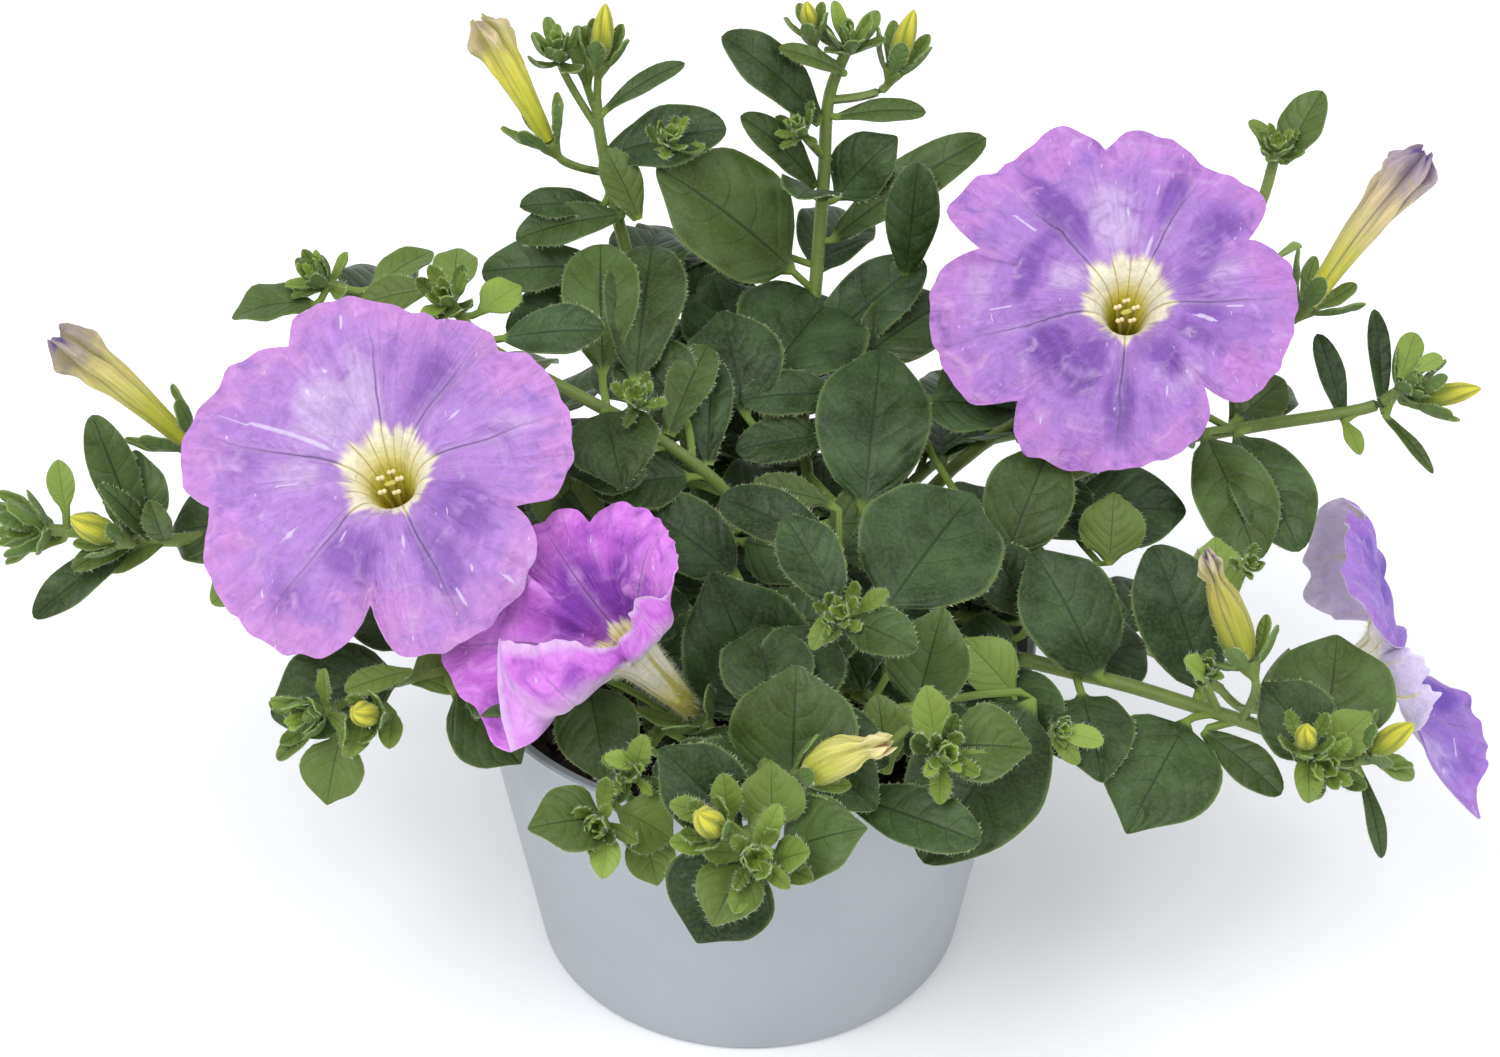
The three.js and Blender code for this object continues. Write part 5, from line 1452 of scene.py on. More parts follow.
@dataclass
class OpenFlower:
    """A funnel on a narrow tube, whose limb spreads into rounded lobes. Its star may lean towards the
    top of the flower, by lean millimetres."""

    name: str
    seat: Point
    heading: Point
    right: Point
    tube: float
    mouth: float
    lobes: list[list[Meridian]]
    skin: PetalSkin
    shares: tuple[float, ...]
    ribs: list[float]
    patches: dict[Tint, list[tuple]]
    ruffle: float = 1.0
    throat: float = 1.2
    lean: float = 0.0
    hairs: int = 700
    thick: float = 0.32
    seed: int = 5
    columns: int = 200
    rows: int = 50

    def frame(self) -> tuple[Array, Array, Array, Array]:
        """Give what the flower is built on.

        Returns:
            The seat, the axis and the two directions square to it.
        """
        axis = unit(self.heading)
        first = square_to(axis, self.right)
        return np.array(self.seat, float) + axis * 0.7, axis, first, np.cross(axis, first)

    def notches(self) -> list[Meridian]:
        """Give the first meridian of each lobe, which is a notch, and the last lobe's end."""
        first = self.lobes[0][0]
        return [lobe[0] for lobe in self.lobes] + [replace(first, place=first.place + 360)]

    def aim(self, turn: Array) -> tuple[Array, Array]:
        """Turn the share of the way round a pattern into a place round the ring and a count of lobes.

        Args:
            turn: Shares of the way round, from 0 to 1.

        Returns:
            Places in degrees, and lobe numbers that are half way at a rib.
        """
        notches = self.notches()
        start = notches[0].place
        knots, places, counts = [], [], []
        for k, here in enumerate(notches[:-1]):
            rib = self.ribs[k] if self.ribs[k] > here.place else self.ribs[k] + 360
            for share, place in ((0, here.place), (0.5, rib)):
                knots.append(round((place - start) / 360 * self.columns) / self.columns)
                places.append(place)
                counts.append(k + share)
        knots, places, counts = [*knots, 1.0], [*places, start + 360], [*counts, len(self.lobes)]
        return np.interp(turn, knots, places), np.interp(turn, knots, counts)

    def limb(self, place: Array, share: Array) -> tuple[Array, Array, Array]:
        """Give the angle, the distance from the axis and the height of points of the limb.

        Args:
            place: Places round the ring in degrees, from the first notch on.
            share: Shares of the way from the mouth to the edge.

        Returns:
            Angles in degrees, distances and heights in millimetres.
        """
        net = np.zeros((len(self.shares), 3, len(place)))
        net[0, 1] = self.mouth
        notches = self.notches()
        for k, lobe in enumerate(self.lobes):
            rows = [*lobe, notches[k + 1]]
            places = np.array([row.place for row in rows])
            points = np.array([row.points() for row in rows])
            # An angle counts on past a whole turn, as its place does
            points[..., 0] += 360 * np.round((places[:, None] - points[..., 0]) / 360)
            mask = (place >= places[0] - 1e-6) & (place <= places[-1] + 1e-6)
            net[0, 0][mask] = rounded(place[mask], places, points[:, 0, 0])
            for i in range(len(self.shares) - 1):
                for j in range(3):
                    net[i + 1, j][mask] = rounded(place[mask], places, points[:, i, j])
        return tuple(rounded(share, self.shares, net[:, j]) for j in range(3))

    def surface(self, turn: Array, t: Array) -> Array:
        """Bend points of a tube onto the middle of the petal's thickness.

        Args:
            turn: Shares of the way round.
            t: Shares of the way from the seat to the edge, with the mouth at MOUTH.

        Returns:
            One place a row.
        """
        seat, axis, first, second = self.frame()
        place, _ = self.aim(turn % 1.0)
        low = np.clip(t / MOUTH, 0, 1)
        s = np.clip((t - MOUTH) / (1 - MOUTH), 0, 1)
        angle, radius, height = self.limb(place, s)
        funnel = 1.7 + (self.mouth - 1.7) * (0.5 * low**self.throat + 0.3 * low**3 + 0.2 * low**12)
        funnel = np.where(low < 0.04, 1.7 * low / 0.04 + 0.05, funnel)
        radius = np.where(t < MOUTH, funnel, radius)
        rise = np.where(t < MOUTH, self.tube * low, self.tube + height)
        crease = np.zeros_like(s)
        for rib in self.ribs:
            away = np.abs(apart(place, rib)) * radius
            crease -= np.exp(-((away / 1.3) ** 2)) * step(0, 0.15, s) * (1 - 0.75 * s)
            crease += 0.35 * np.exp(-(((away - 3.2) / 1.8) ** 2)) * step(0, 0.25, s)
        for notch in self.notches()[1:]:
            away = np.abs(apart(place, notch.place)) * radius
            crease += 0.9 * np.exp(-((away / 2.2) ** 2)) * s**2
        round_, seed = np.radians(place), self.seed
        wave = 0.9 * np.sin(5 * round_ + seed) * s**1.5 + 0.55 * np.sin(11 * round_ + 2 * seed + 3 * s) * s**2
        wave += 0.4 * np.sin(17 * round_ - 5 * s + 3 * seed) * s * step(0.1, 0.6, s)
        wave += 0.55 * np.sin(29 * round_ + 3 * seed + 2 * np.sin(3 * round_)) * s**5
        wave += 0.45 * np.sin(7 * round_ + 9 * s + seed) * 4 * s * (1 - s)
        pucker = self.tints(place, radius)[:, Tint.PUCKER.value]
        wave += pucker * np.sin(1.8 * radius + 2.5 * np.sin(9 * round_))
        rise = rise + self.ruffle * (crease + wave)
        radius = radius + (0.22 * np.sin(29 * round_ + seed) + 0.14 * np.sin(47 * round_ + 2 * seed)) * s**8
        aimed = np.radians(np.where(t < MOUTH, place + (angle - place) * low, angle))
        ring = first * np.cos(aimed)[:, None] + second * np.sin(aimed)[:, None]
        return seat + axis * rise[:, None] + ring * radius[:, None]

    def normal(self, turn: Array, t: Array) -> Array:
        """Give the petal's outward directions at points of its surface.

        Args:
            turn: Shares of the way round.
            t: Shares of the way from the seat to the edge.

        Returns:
            One direction a row.
        """
        tiny = 0.002
        along = self.surface(turn, np.minimum(t + tiny, 1)) - self.surface(turn, np.maximum(t - tiny, 0))
        around = self.surface(turn + tiny, t) - self.surface(turn - tiny, t)
        return unit(np.cross(around, along))

    def tints(self, place: Array, reach: Array) -> Array:
        """Give how strongly each point takes each tint.

        Args:
            place: Places round the ring in degrees.
            reach: Distances from the axis.

        Returns:
            Five numbers a point.
        """
        made = np.zeros((len(place), 5))
        scratch = np.full(len(place), 1e6)
        for tint, patch in ((tint, Patch(*row)) for tint, rows in self.patches.items() for row in rows):
            away = apart(place, patch.angle) * reach
            if tint is Tint.WHITE:
                gap = (np.abs(away) + np.maximum(np.abs(reach - patch.reach) - patch.along, 0)) / patch.across
                # Past a few widths it grows fast, so that no line shows where the nearest scratch changes
                gap = gap * np.maximum(gap / 2.5, 1) ** 4
                scratch = np.where(gap < np.abs(scratch), np.copysign(gap, away), scratch)
                continue
            share = np.exp(-(((reach - patch.reach) / patch.along) ** 2) - (away / patch.across) ** 2)
            made[:, tint.value] = np.maximum(made[:, tint.value], share * patch.strength)
        # A scratch is kept as the signed distance from its line, which stays sharp between corner points
        made[:, Tint.WHITE.value] = 0.5 + scratch / SCRATCH_MARK
        return made

    def petals(self) -> None:
        """Build the petals with the hairs of the tube."""
        pattern = Pattern.tube(self.columns, self.rows, walled=True)
        x, y, t = pattern.places.T
        turn = np.round((np.arctan2(y, x) / (2 * math.pi)) % 1.0 * self.columns) / self.columns % 1.0
        t = np.clip(t, 0, 1)
        # The rows crowd towards the mouth
        t = np.where(t < MOUTH, MOUTH - MOUTH * (1 - np.minimum(t, MOUTH) / MOUTH) ** 1.4, t)
        outer = np.hypot(x, y) > 0.8
        lift = np.where(outer, 0.5, -0.5)[:, None] * self.thick
        places = self.surface(turn, t) + self.normal(turn, t) * lift
        place, count = self.aim(turn)
        s = np.clip((t - MOUTH) / (1 - MOUTH), 0, 1)
        ends = [self.limb(place, np.full_like(place, share)) for share in NET_SHARES]
        long = sum(np.hypot(b[1] - a[1], b[2] - a[2]) for a, b in zip(ends, ends[1:]))
        reach = np.where(t < MOUTH, self.mouth * (t / MOUTH) ** 1.7, self.mouth + long * s)
        notches = self.notches()
        wide = np.radians([b.place - a.place for a, b in zip(notches, notches[1:])])
        arc = wide[np.minimum(count.astype(int), len(wide) - 1)] * reach
        from_axis = reach - self.lean * np.sin(np.radians(place))
        marks = np.stack([from_axis / REACH_MARK, ~outer, s, arc / REACH_MARK], 1)
        maps = np.stack([count, t], 1)[pattern.corners]
        starts = np.concatenate([[0], np.cumsum(pattern.counts)[:-1]])
        seam = np.maximum.reduceat(maps[:, 0], starts) > len(wide) * 0.75
        seam = np.repeat(seam, pattern.counts) & (maps[:, 0] < 0.25 * len(wide))
        maps[seam, 0] += len(wide)
        growth = Growth()
        growth.add(pattern, places, 0, marks, maps, self.tints(place, reach)[:, :4])
        rng = np.random.default_rng(self.seed)
        turn, t = rng.random(self.hairs), 0.32 * rng.random(self.hairs) ** 0.8 + 0.01
        ways = self.normal(turn, t)
        feet = self.surface(turn, t) + ways * self.thick / 2
        growth.hairs(feet, ways + rng.normal(0, 0.25, feet.shape), rng.uniform(0.7, 1.6, len(feet)), 1)
        made = growth.piece("petals_" + self.name, [self.skin.material(), PLANT_HAIR], crease=80)
        fit(made, "corolla_" + self.name)

    def stamens(self, pollen: Material) -> None:
        """Build five stamens round the style.

        Args:
            pollen: Their finish.
        """
        seat, axis, first, second = self.frame()
        growth = Growth()
        x, y, z = THIN_TUBE.places.T
        # How far each tip stays below the mouth, in millimetres. The last is the style's
        depths = (2.6, 3.6, 2.2, 3.0, 4.2, 3.4)
        for i in range(6):
            turn = 2 * math.pi * i / 5 + 0.3
            out = (first * math.cos(turn) + second * math.sin(turn)) * (i < 5)
            foot = seat + axis * 1.5 + out * 0.4
            tip = seat + axis * (self.tube - depths[i]) + out * (2.0 + 0.5 * (i % 2))
            way = unit(tip - foot)
            side = square_to(way, (0.9, 0.1, 0.3))
            ring = side * x[:, None] + np.cross(way, side) * y[:, None]
            thin = 0.35 if i < 5 else 0.6
            growth.add(THIN_TUBE, foot + (tip - foot) * z[:, None] + ring * thin)
            for lobe in (-0.42, 0.42):
                size = np.array([0.52, 0.5, 0.6]) if i < 5 else np.array([0.9, 0.6, 0.4])
                ball = BALL.places * size
                local = ball[:, :1] * side + ball[:, 1:2] * np.cross(way, side) + ball[:, 2:] * way
                growth.add(BALL, tip + side * lobe + local, marks=(float(i < 5), 0, 0, 0))
        fit(growth.piece("stamens_set_" + self.name, [pollen]), "stamens_" + self.name)


LAVENDER = PetalSkin("lavender_petal_velvet")
VIOLET = PetalSkin(
    "violet_petal_velvet", body="#9e75bb", margin="#b079bd", deep="#774f9f", star=0.95, gold=0.1,
)
MAGENTA = PetalSkin(
    "magenta_petal_velvet", body="#bb63c6", pale="#d49edb", margin="#cb7ad4", deep="#78309c", back="#cfb4d4",
    star=0.7, flush=0.98,
)
BLUISH = PetalSkin(
    "bluish_petal_velvet", body="#8b67b8", pale="#ab96cb", margin="#9a6ebd", deep="#6745a5", back="#d3cade",
    flush=0.28, ribbing="#c9bf98",
)



def spread(mouth: float, lobes: list[list[Point]]) -> list[list[Meridian]]:
    """Draw the meridians of a limb that spreads flat like a trumpet's bell.

    Args:
        mouth: The radius of the mouth.
        lobes: For each lobe, from its first notch on, the angle, reach and lift of points of its edge.

    Returns:
        The meridians of each lobe.
    """
    shares = np.array(FLAT_SHARES[1:])
    bell = 2.6 * np.sin(math.pi * np.sqrt(shares))
    rise = shares**1.5
    return net([
        [(turn, turn, mouth + (reach - mouth) * shares, bell + lift * rise) for turn, reach, lift in lobe]
        for lobe in lobes
    ])


def net(lobes: list[list[tuple]]) -> list[list[Meridian]]:
    """Draw the meridians of a folded limb from rows of what a Meridian takes."""
    return [[Meridian(*row) for row in lobe] for lobe in lobes]


PALE, DEEP, ROSY, WHITE, PUCKER = Tint

LEFT_FLOWER = OpenFlower(
    "left", (-70, -6, 111), (-0.08, -0.5, 0.86), (1, 0, 0), 26, 7.8,
    spread(7.8, [
        [(51, 34.2, 0), (58, 37, -1), (65, 37.8, -2), (71, 37, -1)],
        [(75, 34.6, 0), (80, 36.8, -1), (87, 37.6, -1), (98, 39.4, -1), (112, 42.3, -2), (121, 41, -1)],
        [
            (126, 36.5, 0), (131, 40, -2), (142, 42.4, -2), (155, 43, -2), (165, 43, -2), (177, 42, -2),
            (185, 39.5, -1),
        ],
        [
            (190, 35.6, 1), (198, 38.5, -2), (210, 40.5, -3), (222, 40.6, -4), (233, 41, -4), (244, 40.4, -4),
            (257, 36, -3),
        ],
        [(266, 27.5, -1), (271, 34, -3), (283, 37.7, -2), (302, 38.2, -2), (322, 36.3, -1), (336, 33, 0)],
        [(344, 27, 1), (349, 32, 0), (356, 35, 0), (372, 37.8, 0), (392, 37.9, 0), (404, 37.2, -1)],
    ]),
    LAVENDER, FLAT_SHARES, [60, 98, 166, 230, 297, 379],
    {
        WHITE: [
            (156, 22, 9, 0.6), (157.5, 35, 4, 0.25), (187, 20, 2.5, 0.35), (41, 18, 1.2, 0.35),
            (213, 23, 0.6, 0.7), (301, 31, 1.8, 0.4), (240, 16, 1.2, 0.3), (318, 34, 0.6, 0.6),
        ],
        PALE: [(130, 18, 10, 9, 0.9), (106, 20, 12, 4, 0.7), (20, 26, 9, 5, 0.4), (182, 18, 8, 5, 0.5)],
        DEEP: [
            (250, 18, 6, 7, 0.9), (234, 33, 6, 7, 0.7), (300, 23, 9, 5, 0.9), (70, 24, 10, 5, 0.8),
            (335, 18, 8, 6, 0.8), (173, 31, 6, 4, 0.5), (90, 28, 8, 2, 0.6),
        ],
        ROSY: [
            (41, 33, 7, 8, 0.9), (202, 35, 5, 6, 0.8), (243, 38, 5, 9, 0.9), (268, 31, 7, 11, 0.9),
            (10, 34, 6, 5, 0.7), (112, 40, 5, 6, 0.7),
        ],
        PUCKER: [(258, 24, 6, 9, 0.5), (318, 24, 7, 6, 0.4)],
    },
    ruffle=1.25, lean=0.8, seed=5,
)

RIGHT_FLOWER = OpenFlower(
    "right", (80, 44, 121), (-0.05, -0.58, 0.81), (1, 0, 0), 26, 7.4,
    spread(7.4, [
        [
            (29, 29.2, 0), (33, 34, 0), (37, 36.9, 0), (50, 36.5, 0), (63, 35.5, 0), (81, 39.1, 0),
            (90, 38.8, 0),
        ],
        [
            (96, 34.6, 1), (100, 39.5, 0), (105, 42.7, -1), (117, 42, -1), (129, 40.6, -1), (142, 43, -1),
            (151, 42, -1),
        ],
        [(157, 33.2, 1), (162, 38, -2), (175, 41.1, -2), (187, 41, -2), (199, 40.3, -2), (213, 38, -2)],
        [
            (222, 31.2, 0), (227, 35.4, -2), (248, 36.8, -2), (266, 35.3, -2), (281, 34, -2), (296, 31.6, -2),
            (304, 29, -1),
        ],
        [(310, 23.2, 1), (315, 29.8, 0), (324, 32.4, 0), (345, 34.4, 0), (365, 35, 0), (382, 33.2, 0)],
    ]),
    VIOLET, FLAT_SHARES, [61, 131, 190, 264, 361],
    {
        WHITE: [
            (88, 20.5, 0.8, 0.4), (139, 28, 3, 0.35), (180.5, 27, 2.4, 0.3), (346, 16.5, 1.6, 0.6),
            (356.5, 22.5, 1.6, 0.3), (74, 26.5, 1.2, 0.3), (69, 13, 1.8, 0.5),
        ],
        PALE: [
            # The pale patch at 218 degrees is a painted highlight on the puckers there
            (99, 19, 9, 6, 0.9), (155, 14, 5, 4, 0.7), (18, 20, 9, 4, 0.6), (218, 17, 3, 4, 0.6),
            (305, 21, 4, 4, 0.5), (170, 32, 4, 7, 0.5),
        ],
        DEEP: [
            (124, 27, 12, 3.4, 1.3), (66.5, 28, 11, 2, 1.3), (162, 22.5, 2.5, 8, 1.1), (208, 19, 5, 7, 1.1),
            (236, 17, 7, 4, 1.1), (300, 14, 5, 5), (332, 15, 5, 3, 0.7), (352, 16, 4, 2.5, 0.8),
            (264, 23, 9, 4, 0.9), (40, 24, 9, 5, 0.7), (20, 14, 4, 4, 0.5),
        ],
        ROSY: [
            (14, 31, 6, 7), (328, 28, 6, 6), (113, 36, 5, 7, 0.9), (78, 36, 4, 7, 0.8), (150, 37, 5, 6, 0.8),
            (232, 34, 5, 6, 0.9), (290, 31, 5, 5, 0.9),
        ],
        PUCKER: [(215, 20, 8, 9, 0.6), (330, 20, 6, 4, 0.5)],
    },
    ruffle=1.3, lean=1.8, seed=8,
)

# Its near lobes are folded up and over, so that its throat is hidden and their pale backs show
HALF_OPEN_FLOWER = OpenFlower(
    "half_open", (-10, -46, 94), (-0.56, -0.14, 0.82), (1, 0, 0.68), 25, 6.2,
    net([
        [
            (-10, 350, (9, 13, 15.5, 16.6), (2.5, 4.5, 6, 7.4)),
            (0, 0, (9, 13, 17, 19.6), (3, 6.5, 9.4, 10.7)), (20, 20, (9, 13.5, 18, 21), (4, 8, 10.6, 11.1)),
            (40, 40, (9, 14, 19, 22.7), (5, 8.5, 10.2, 9.6)), (60, 60, (9, 14, 20, 26), (5, 8.5, 9.8, 8.8)),
            (75, 75, (10, 16, 23, 28.4), (5, 9, 11, 10.4)), (84, 84, (10, 16, 23, 29.3), (5, 9, 11, 9.8)),
        ],
        [
            (89, 89, (10, 16, 22, 26.3), (5, 9, 10.5, 10.1)),
            (94, 92, (10, 16, 23, 29), (5, 9.4, 12.3, 12.2)), (105, 105, (10, 17, 25, 31), (5, 10, 13, 14.3)),
            (118, 118, (10, 16, 22, 29), (5, 9, 13, 14)),
        ],
        [
            (126, 128, (9, 13, 19, 24), (4, 7.5, 11, 13)),
            (132, (138, 136, 130, 127), (8, 11.5, 15.5, 23), (5, 9, 13, 17)),
            (142, (146, 147, 147, 144), (12, 18, 26, 32), (5.5, 11, 15.5, 18)),
            (155, 155, (14, 20, 27, 34), (6.5, 11, 15, 17)),
            (170, (169, 169, 169, 168), (15, 23, 30, 35), (6, 10, 12.6, 14)),
            (184, (182, 184, 185, 186), (14, 22, 28, 31.5), (5, 8, 10, 11.5)),
            (196, (181, 189, 192, 196), (11.4, 19.5, 26.2, 30.3), (1.7, 3.7, 5.9, 6.9)),
            (203, (187, 199, 206, 210), (10.8, 18.9, 27.2, 31.3), (1.1, 2.6, 4.8, 6)),
        ],
        [
            (208, (193, 214, 220, 217), (10.7, 18.5, 24.8, 29.9), (0.3, 1.9, 4, 5.4)),
            (213, (211, 225, 220, 195), (10.1, 19.6, 22, 20.4), (1.6, 4.9, 11.1, 15.3)),
            (226, (231, 244, 236, 202), (10.4, 20.4, 20.7, 15.2), (2.7, 8.8, 16.8, 20.2)),
            (241, (246, 254, 248, 222), (11, 19.9, 18.7, 11.7), (3.6, 10.7, 16.3, 18.7)),
            (256, (249, 260, 258, 244), (9.7, 16.6, 16, 9.1), (3, 8.9, 13.7, 16.1)),
            (270, (262, 266, 268, 264), (8, 12.6, 13.6, 8.8), (2.4, 6.4, 10.2, 12.2)),
            (280, (280, 281, 281, 280), (7.2, 10.6, 12, 8.6), (2.6, 5.8, 7.6, 8.6)),
        ],
        [
            (286, (287, 288, 289, 291), (6.2, 8.4, 9.4, 7.4), (1.6, 3.6, 5.2, 6.2)),
            (301, (301, 303, 309, 322), (9, 15, 15.2, 8.6), (3, 7, 9.6, 8.6)),
            (315, (315, 318, 321, 334), (9.6, 15.6, 15, 9.8), (3.2, 7, 11, 11.4)),
            (330, (330, 328, 331, 346), (10, 16.2, 17.2, 12.4), (3, 6.2, 11, 11.4)),
            (342, (340, 339, 337, 344), (10, 15.8, 18, 16), (3, 5.6, 9.2, 10.4)),
        ],
    ]),
    MAGENTA, NET_SHARES, [40, 107, 165, 240, 318],
    {
        PALE: [(88, 22, 6, 2, 0.5), (214, 31, 12, 4.5, 1.3), (5, 18, 6, 3, 0.5)],
        DEEP: [
            (60, 12, 9, 14, 0.9), (110, 16, 9, 9, 0.9), (195, 20, 12, 5, 0.8), (30, 22, 6, 3, 0.5),
            (250, 24, 6, 5, 0.5),
        ],
        ROSY: [(155, 27, 8, 9, 0.9), (235, 30, 7, 6), (20, 22, 9, 10, 1.2), (75, 28, 6, 5, 0.8)],
    },
    ruffle=0.6, throat=0.8, hairs=2400, seed=3,
)

# Seen from its side: the lowest lobe hangs forward, the far one is bent back and the near one is cupped
FAR_RIGHT_FLOWER = OpenFlower(
    "far_right", (110, -9, 66), (0.9, 0.05, 0.42), (0, -1, 0), 25, 6.5,
    net([
        [
            (40, (40, 41, 42, 42), (10, 13, 15.5, 17), (0.6, 1, 1.2, 1)),
            (45, (44, 45, 46, 46), (12, 17, 21, 25), (1, 1.4, 1.8, 2.2)),
            (53, (52, 54, 55, 55), (13, 21, 30, 39), (1.4, 2.6, 4.4, 7)),
            (62, (60, 63, 65, 65), (14, 21, 27, 33), (2, 4.5, 7, 8.2)),
            (73, (72, 74, 75, 75), (14, 20, 26, 30.5), (3, 6.5, 9.5, 11.6)),
            (85, (85, 85, 86, 86), (14, 20, 25, 30), (3, 7, 11, 13.6)),
            (97, (97, 98, 99, 100), (14, 20, 25, 29.6), (3, 7, 11, 14.2)),
            (108, (108, 110, 112, 113), (14, 19, 24, 28), (3, 6, 10, 12.5)),
            (118, (118, 121, 123, 124), (13, 17, 21, 24.5), (2, 4, 6, 7)),
        ],
        [
            (125, (125, 125, 124, 123), (12, 15.5, 18.5, 22), (1.6, 3, 4, 5)),
            (132, (132, 132, 132, 131.6), (13, 18, 23, 27.4), (1.4, 3, 4.4, 5.1)),
            (140, (140, 139, 139, 138.6), (13, 18, 23, 26.4), (1.4, 2.6, 3, 2.8)),
            (149, (149, 149, 149.5, 149.5), (13, 17.5, 22, 25.5), (1.8, 3.4, 4.4, 4.6)),
        ],
        [
            (156, (156, 156, 157, 157), (12, 16, 19.5, 22), (2.4, 4, 4.4, 3.6)),
            (165, (162, 162, 166, 170), (12.5, 18, 20.6, 21.4), (3, 4.6, 1, -4.5)),
            (175, (173, 173, 174, 174), (12.5, 18, 22, 23.4), (3.4, 5.6, -0.4, -7.6)),
            (187, (186, 187, 188, 188), (12.5, 19.5, 24.6, 26.6), (3.6, 6.8, -0.6, -9.5)),
            (200, (200, 201, 202, 202), (12.5, 20.8, 27, 29.6), (3.6, 7, 0.6, -8.4)),
            (212, (211, 212, 214, 216), (12.5, 21, 28.4, 32.3), (3.6, 7.2, 3, -5.6)),
            (222, (221, 222, 224, 226), (12.5, 23, 30, 34.3), (3.6, 7.2, 5.8, -0.1)),
            (232, (231, 231, 233, 234), (12.5, 23, 30.4, 34.8), (3.8, 7.4, 8, 4.9)),
            (238, (237, 237, 238, 239), (12.5, 21, 26.5, 31.5), (3.8, 7.4, 9, 7.5)),
        ],
        [
            (242, 242, (12.5, 19, 24, 29), (4, 7.2, 8.6, 8.4)),
            (247, (246, 247, 248, 248), (13, 20, 27, 33), (4, 7, 8.6, 8)),
            (255, (255, 255, 254, 253), (13, 20, 27, 32), (4, 6.8, 7.4, 5.8)),
            (265, (265, 265, 264, 264), (13, 20, 27, 32.2), (3.8, 6.4, 6.6, 4.1)),
            (275, (275, 275, 275, 274), (13, 20, 26, 31), (3.6, 5.8, 5, 1.5)),
            (286, (286, 286, 286, 285), (13, 20, 27, 32), (3.6, 5.4, 4, 0.6)),
            (296, 296, (12.6, 20, 27, 33), (3.4, 5.2, 4.2, 1.3)),
            (303, (303, 303, 302, 302), (12, 18, 25, 32), (3.2, 5, 4.8, 2.4)),
            (308, 308, (11, 15, 20, 24), (3, 4.6, 5.4, 5)),
        ],
        [
            (313, 315, (8.6, 10.6, 12.6, 14.6), (2, 3.6, 5, 6)),
            (325, 325, (11, 15.5, 17, 15), (1, 3, 6.6, 9)), (345, 345, (12, 17, 18, 15.5), (1, 3, 6, 8)),
            (365, 365, (12, 17, 18.5, 16), (1, 2.6, 5.4, 7.4)), (384, 384, (12, 17, 18, 16), (1, 2, 4, 6)),
        ],
    ]),
    BLUISH, NET_SHARES, [83, 139, 199, 272, 350],
    {
        PALE: [(50, 24, 9, 5, 0.8), (275, 34, 6, 6, 0.6), (120, 30, 6, 4, 0.5)],
        DEEP: [(262, 24, 7, 6, 0.9), (105, 20, 9, 6, 0.9), (70, 30, 8, 4, 0.7), (205, 20, 6, 8, 0.6)],
        ROSY: [(90, 36, 6, 10, 0.5)],
    },
    ruffle=1.1, hairs=1200, seed=2,
)

OPEN_FLOWERS = [LEFT_FLOWER, RIGHT_FLOWER, HALF_OPEN_FLOWER, FAR_RIGHT_FLOWER]


class Wither(Enum):
    """How far a closed flower is gone: still in bud, rolled up, or swollen with its limb crumpled over."""

    BUD = 0
    ROLLED = 1
    CRUMPLED = 2


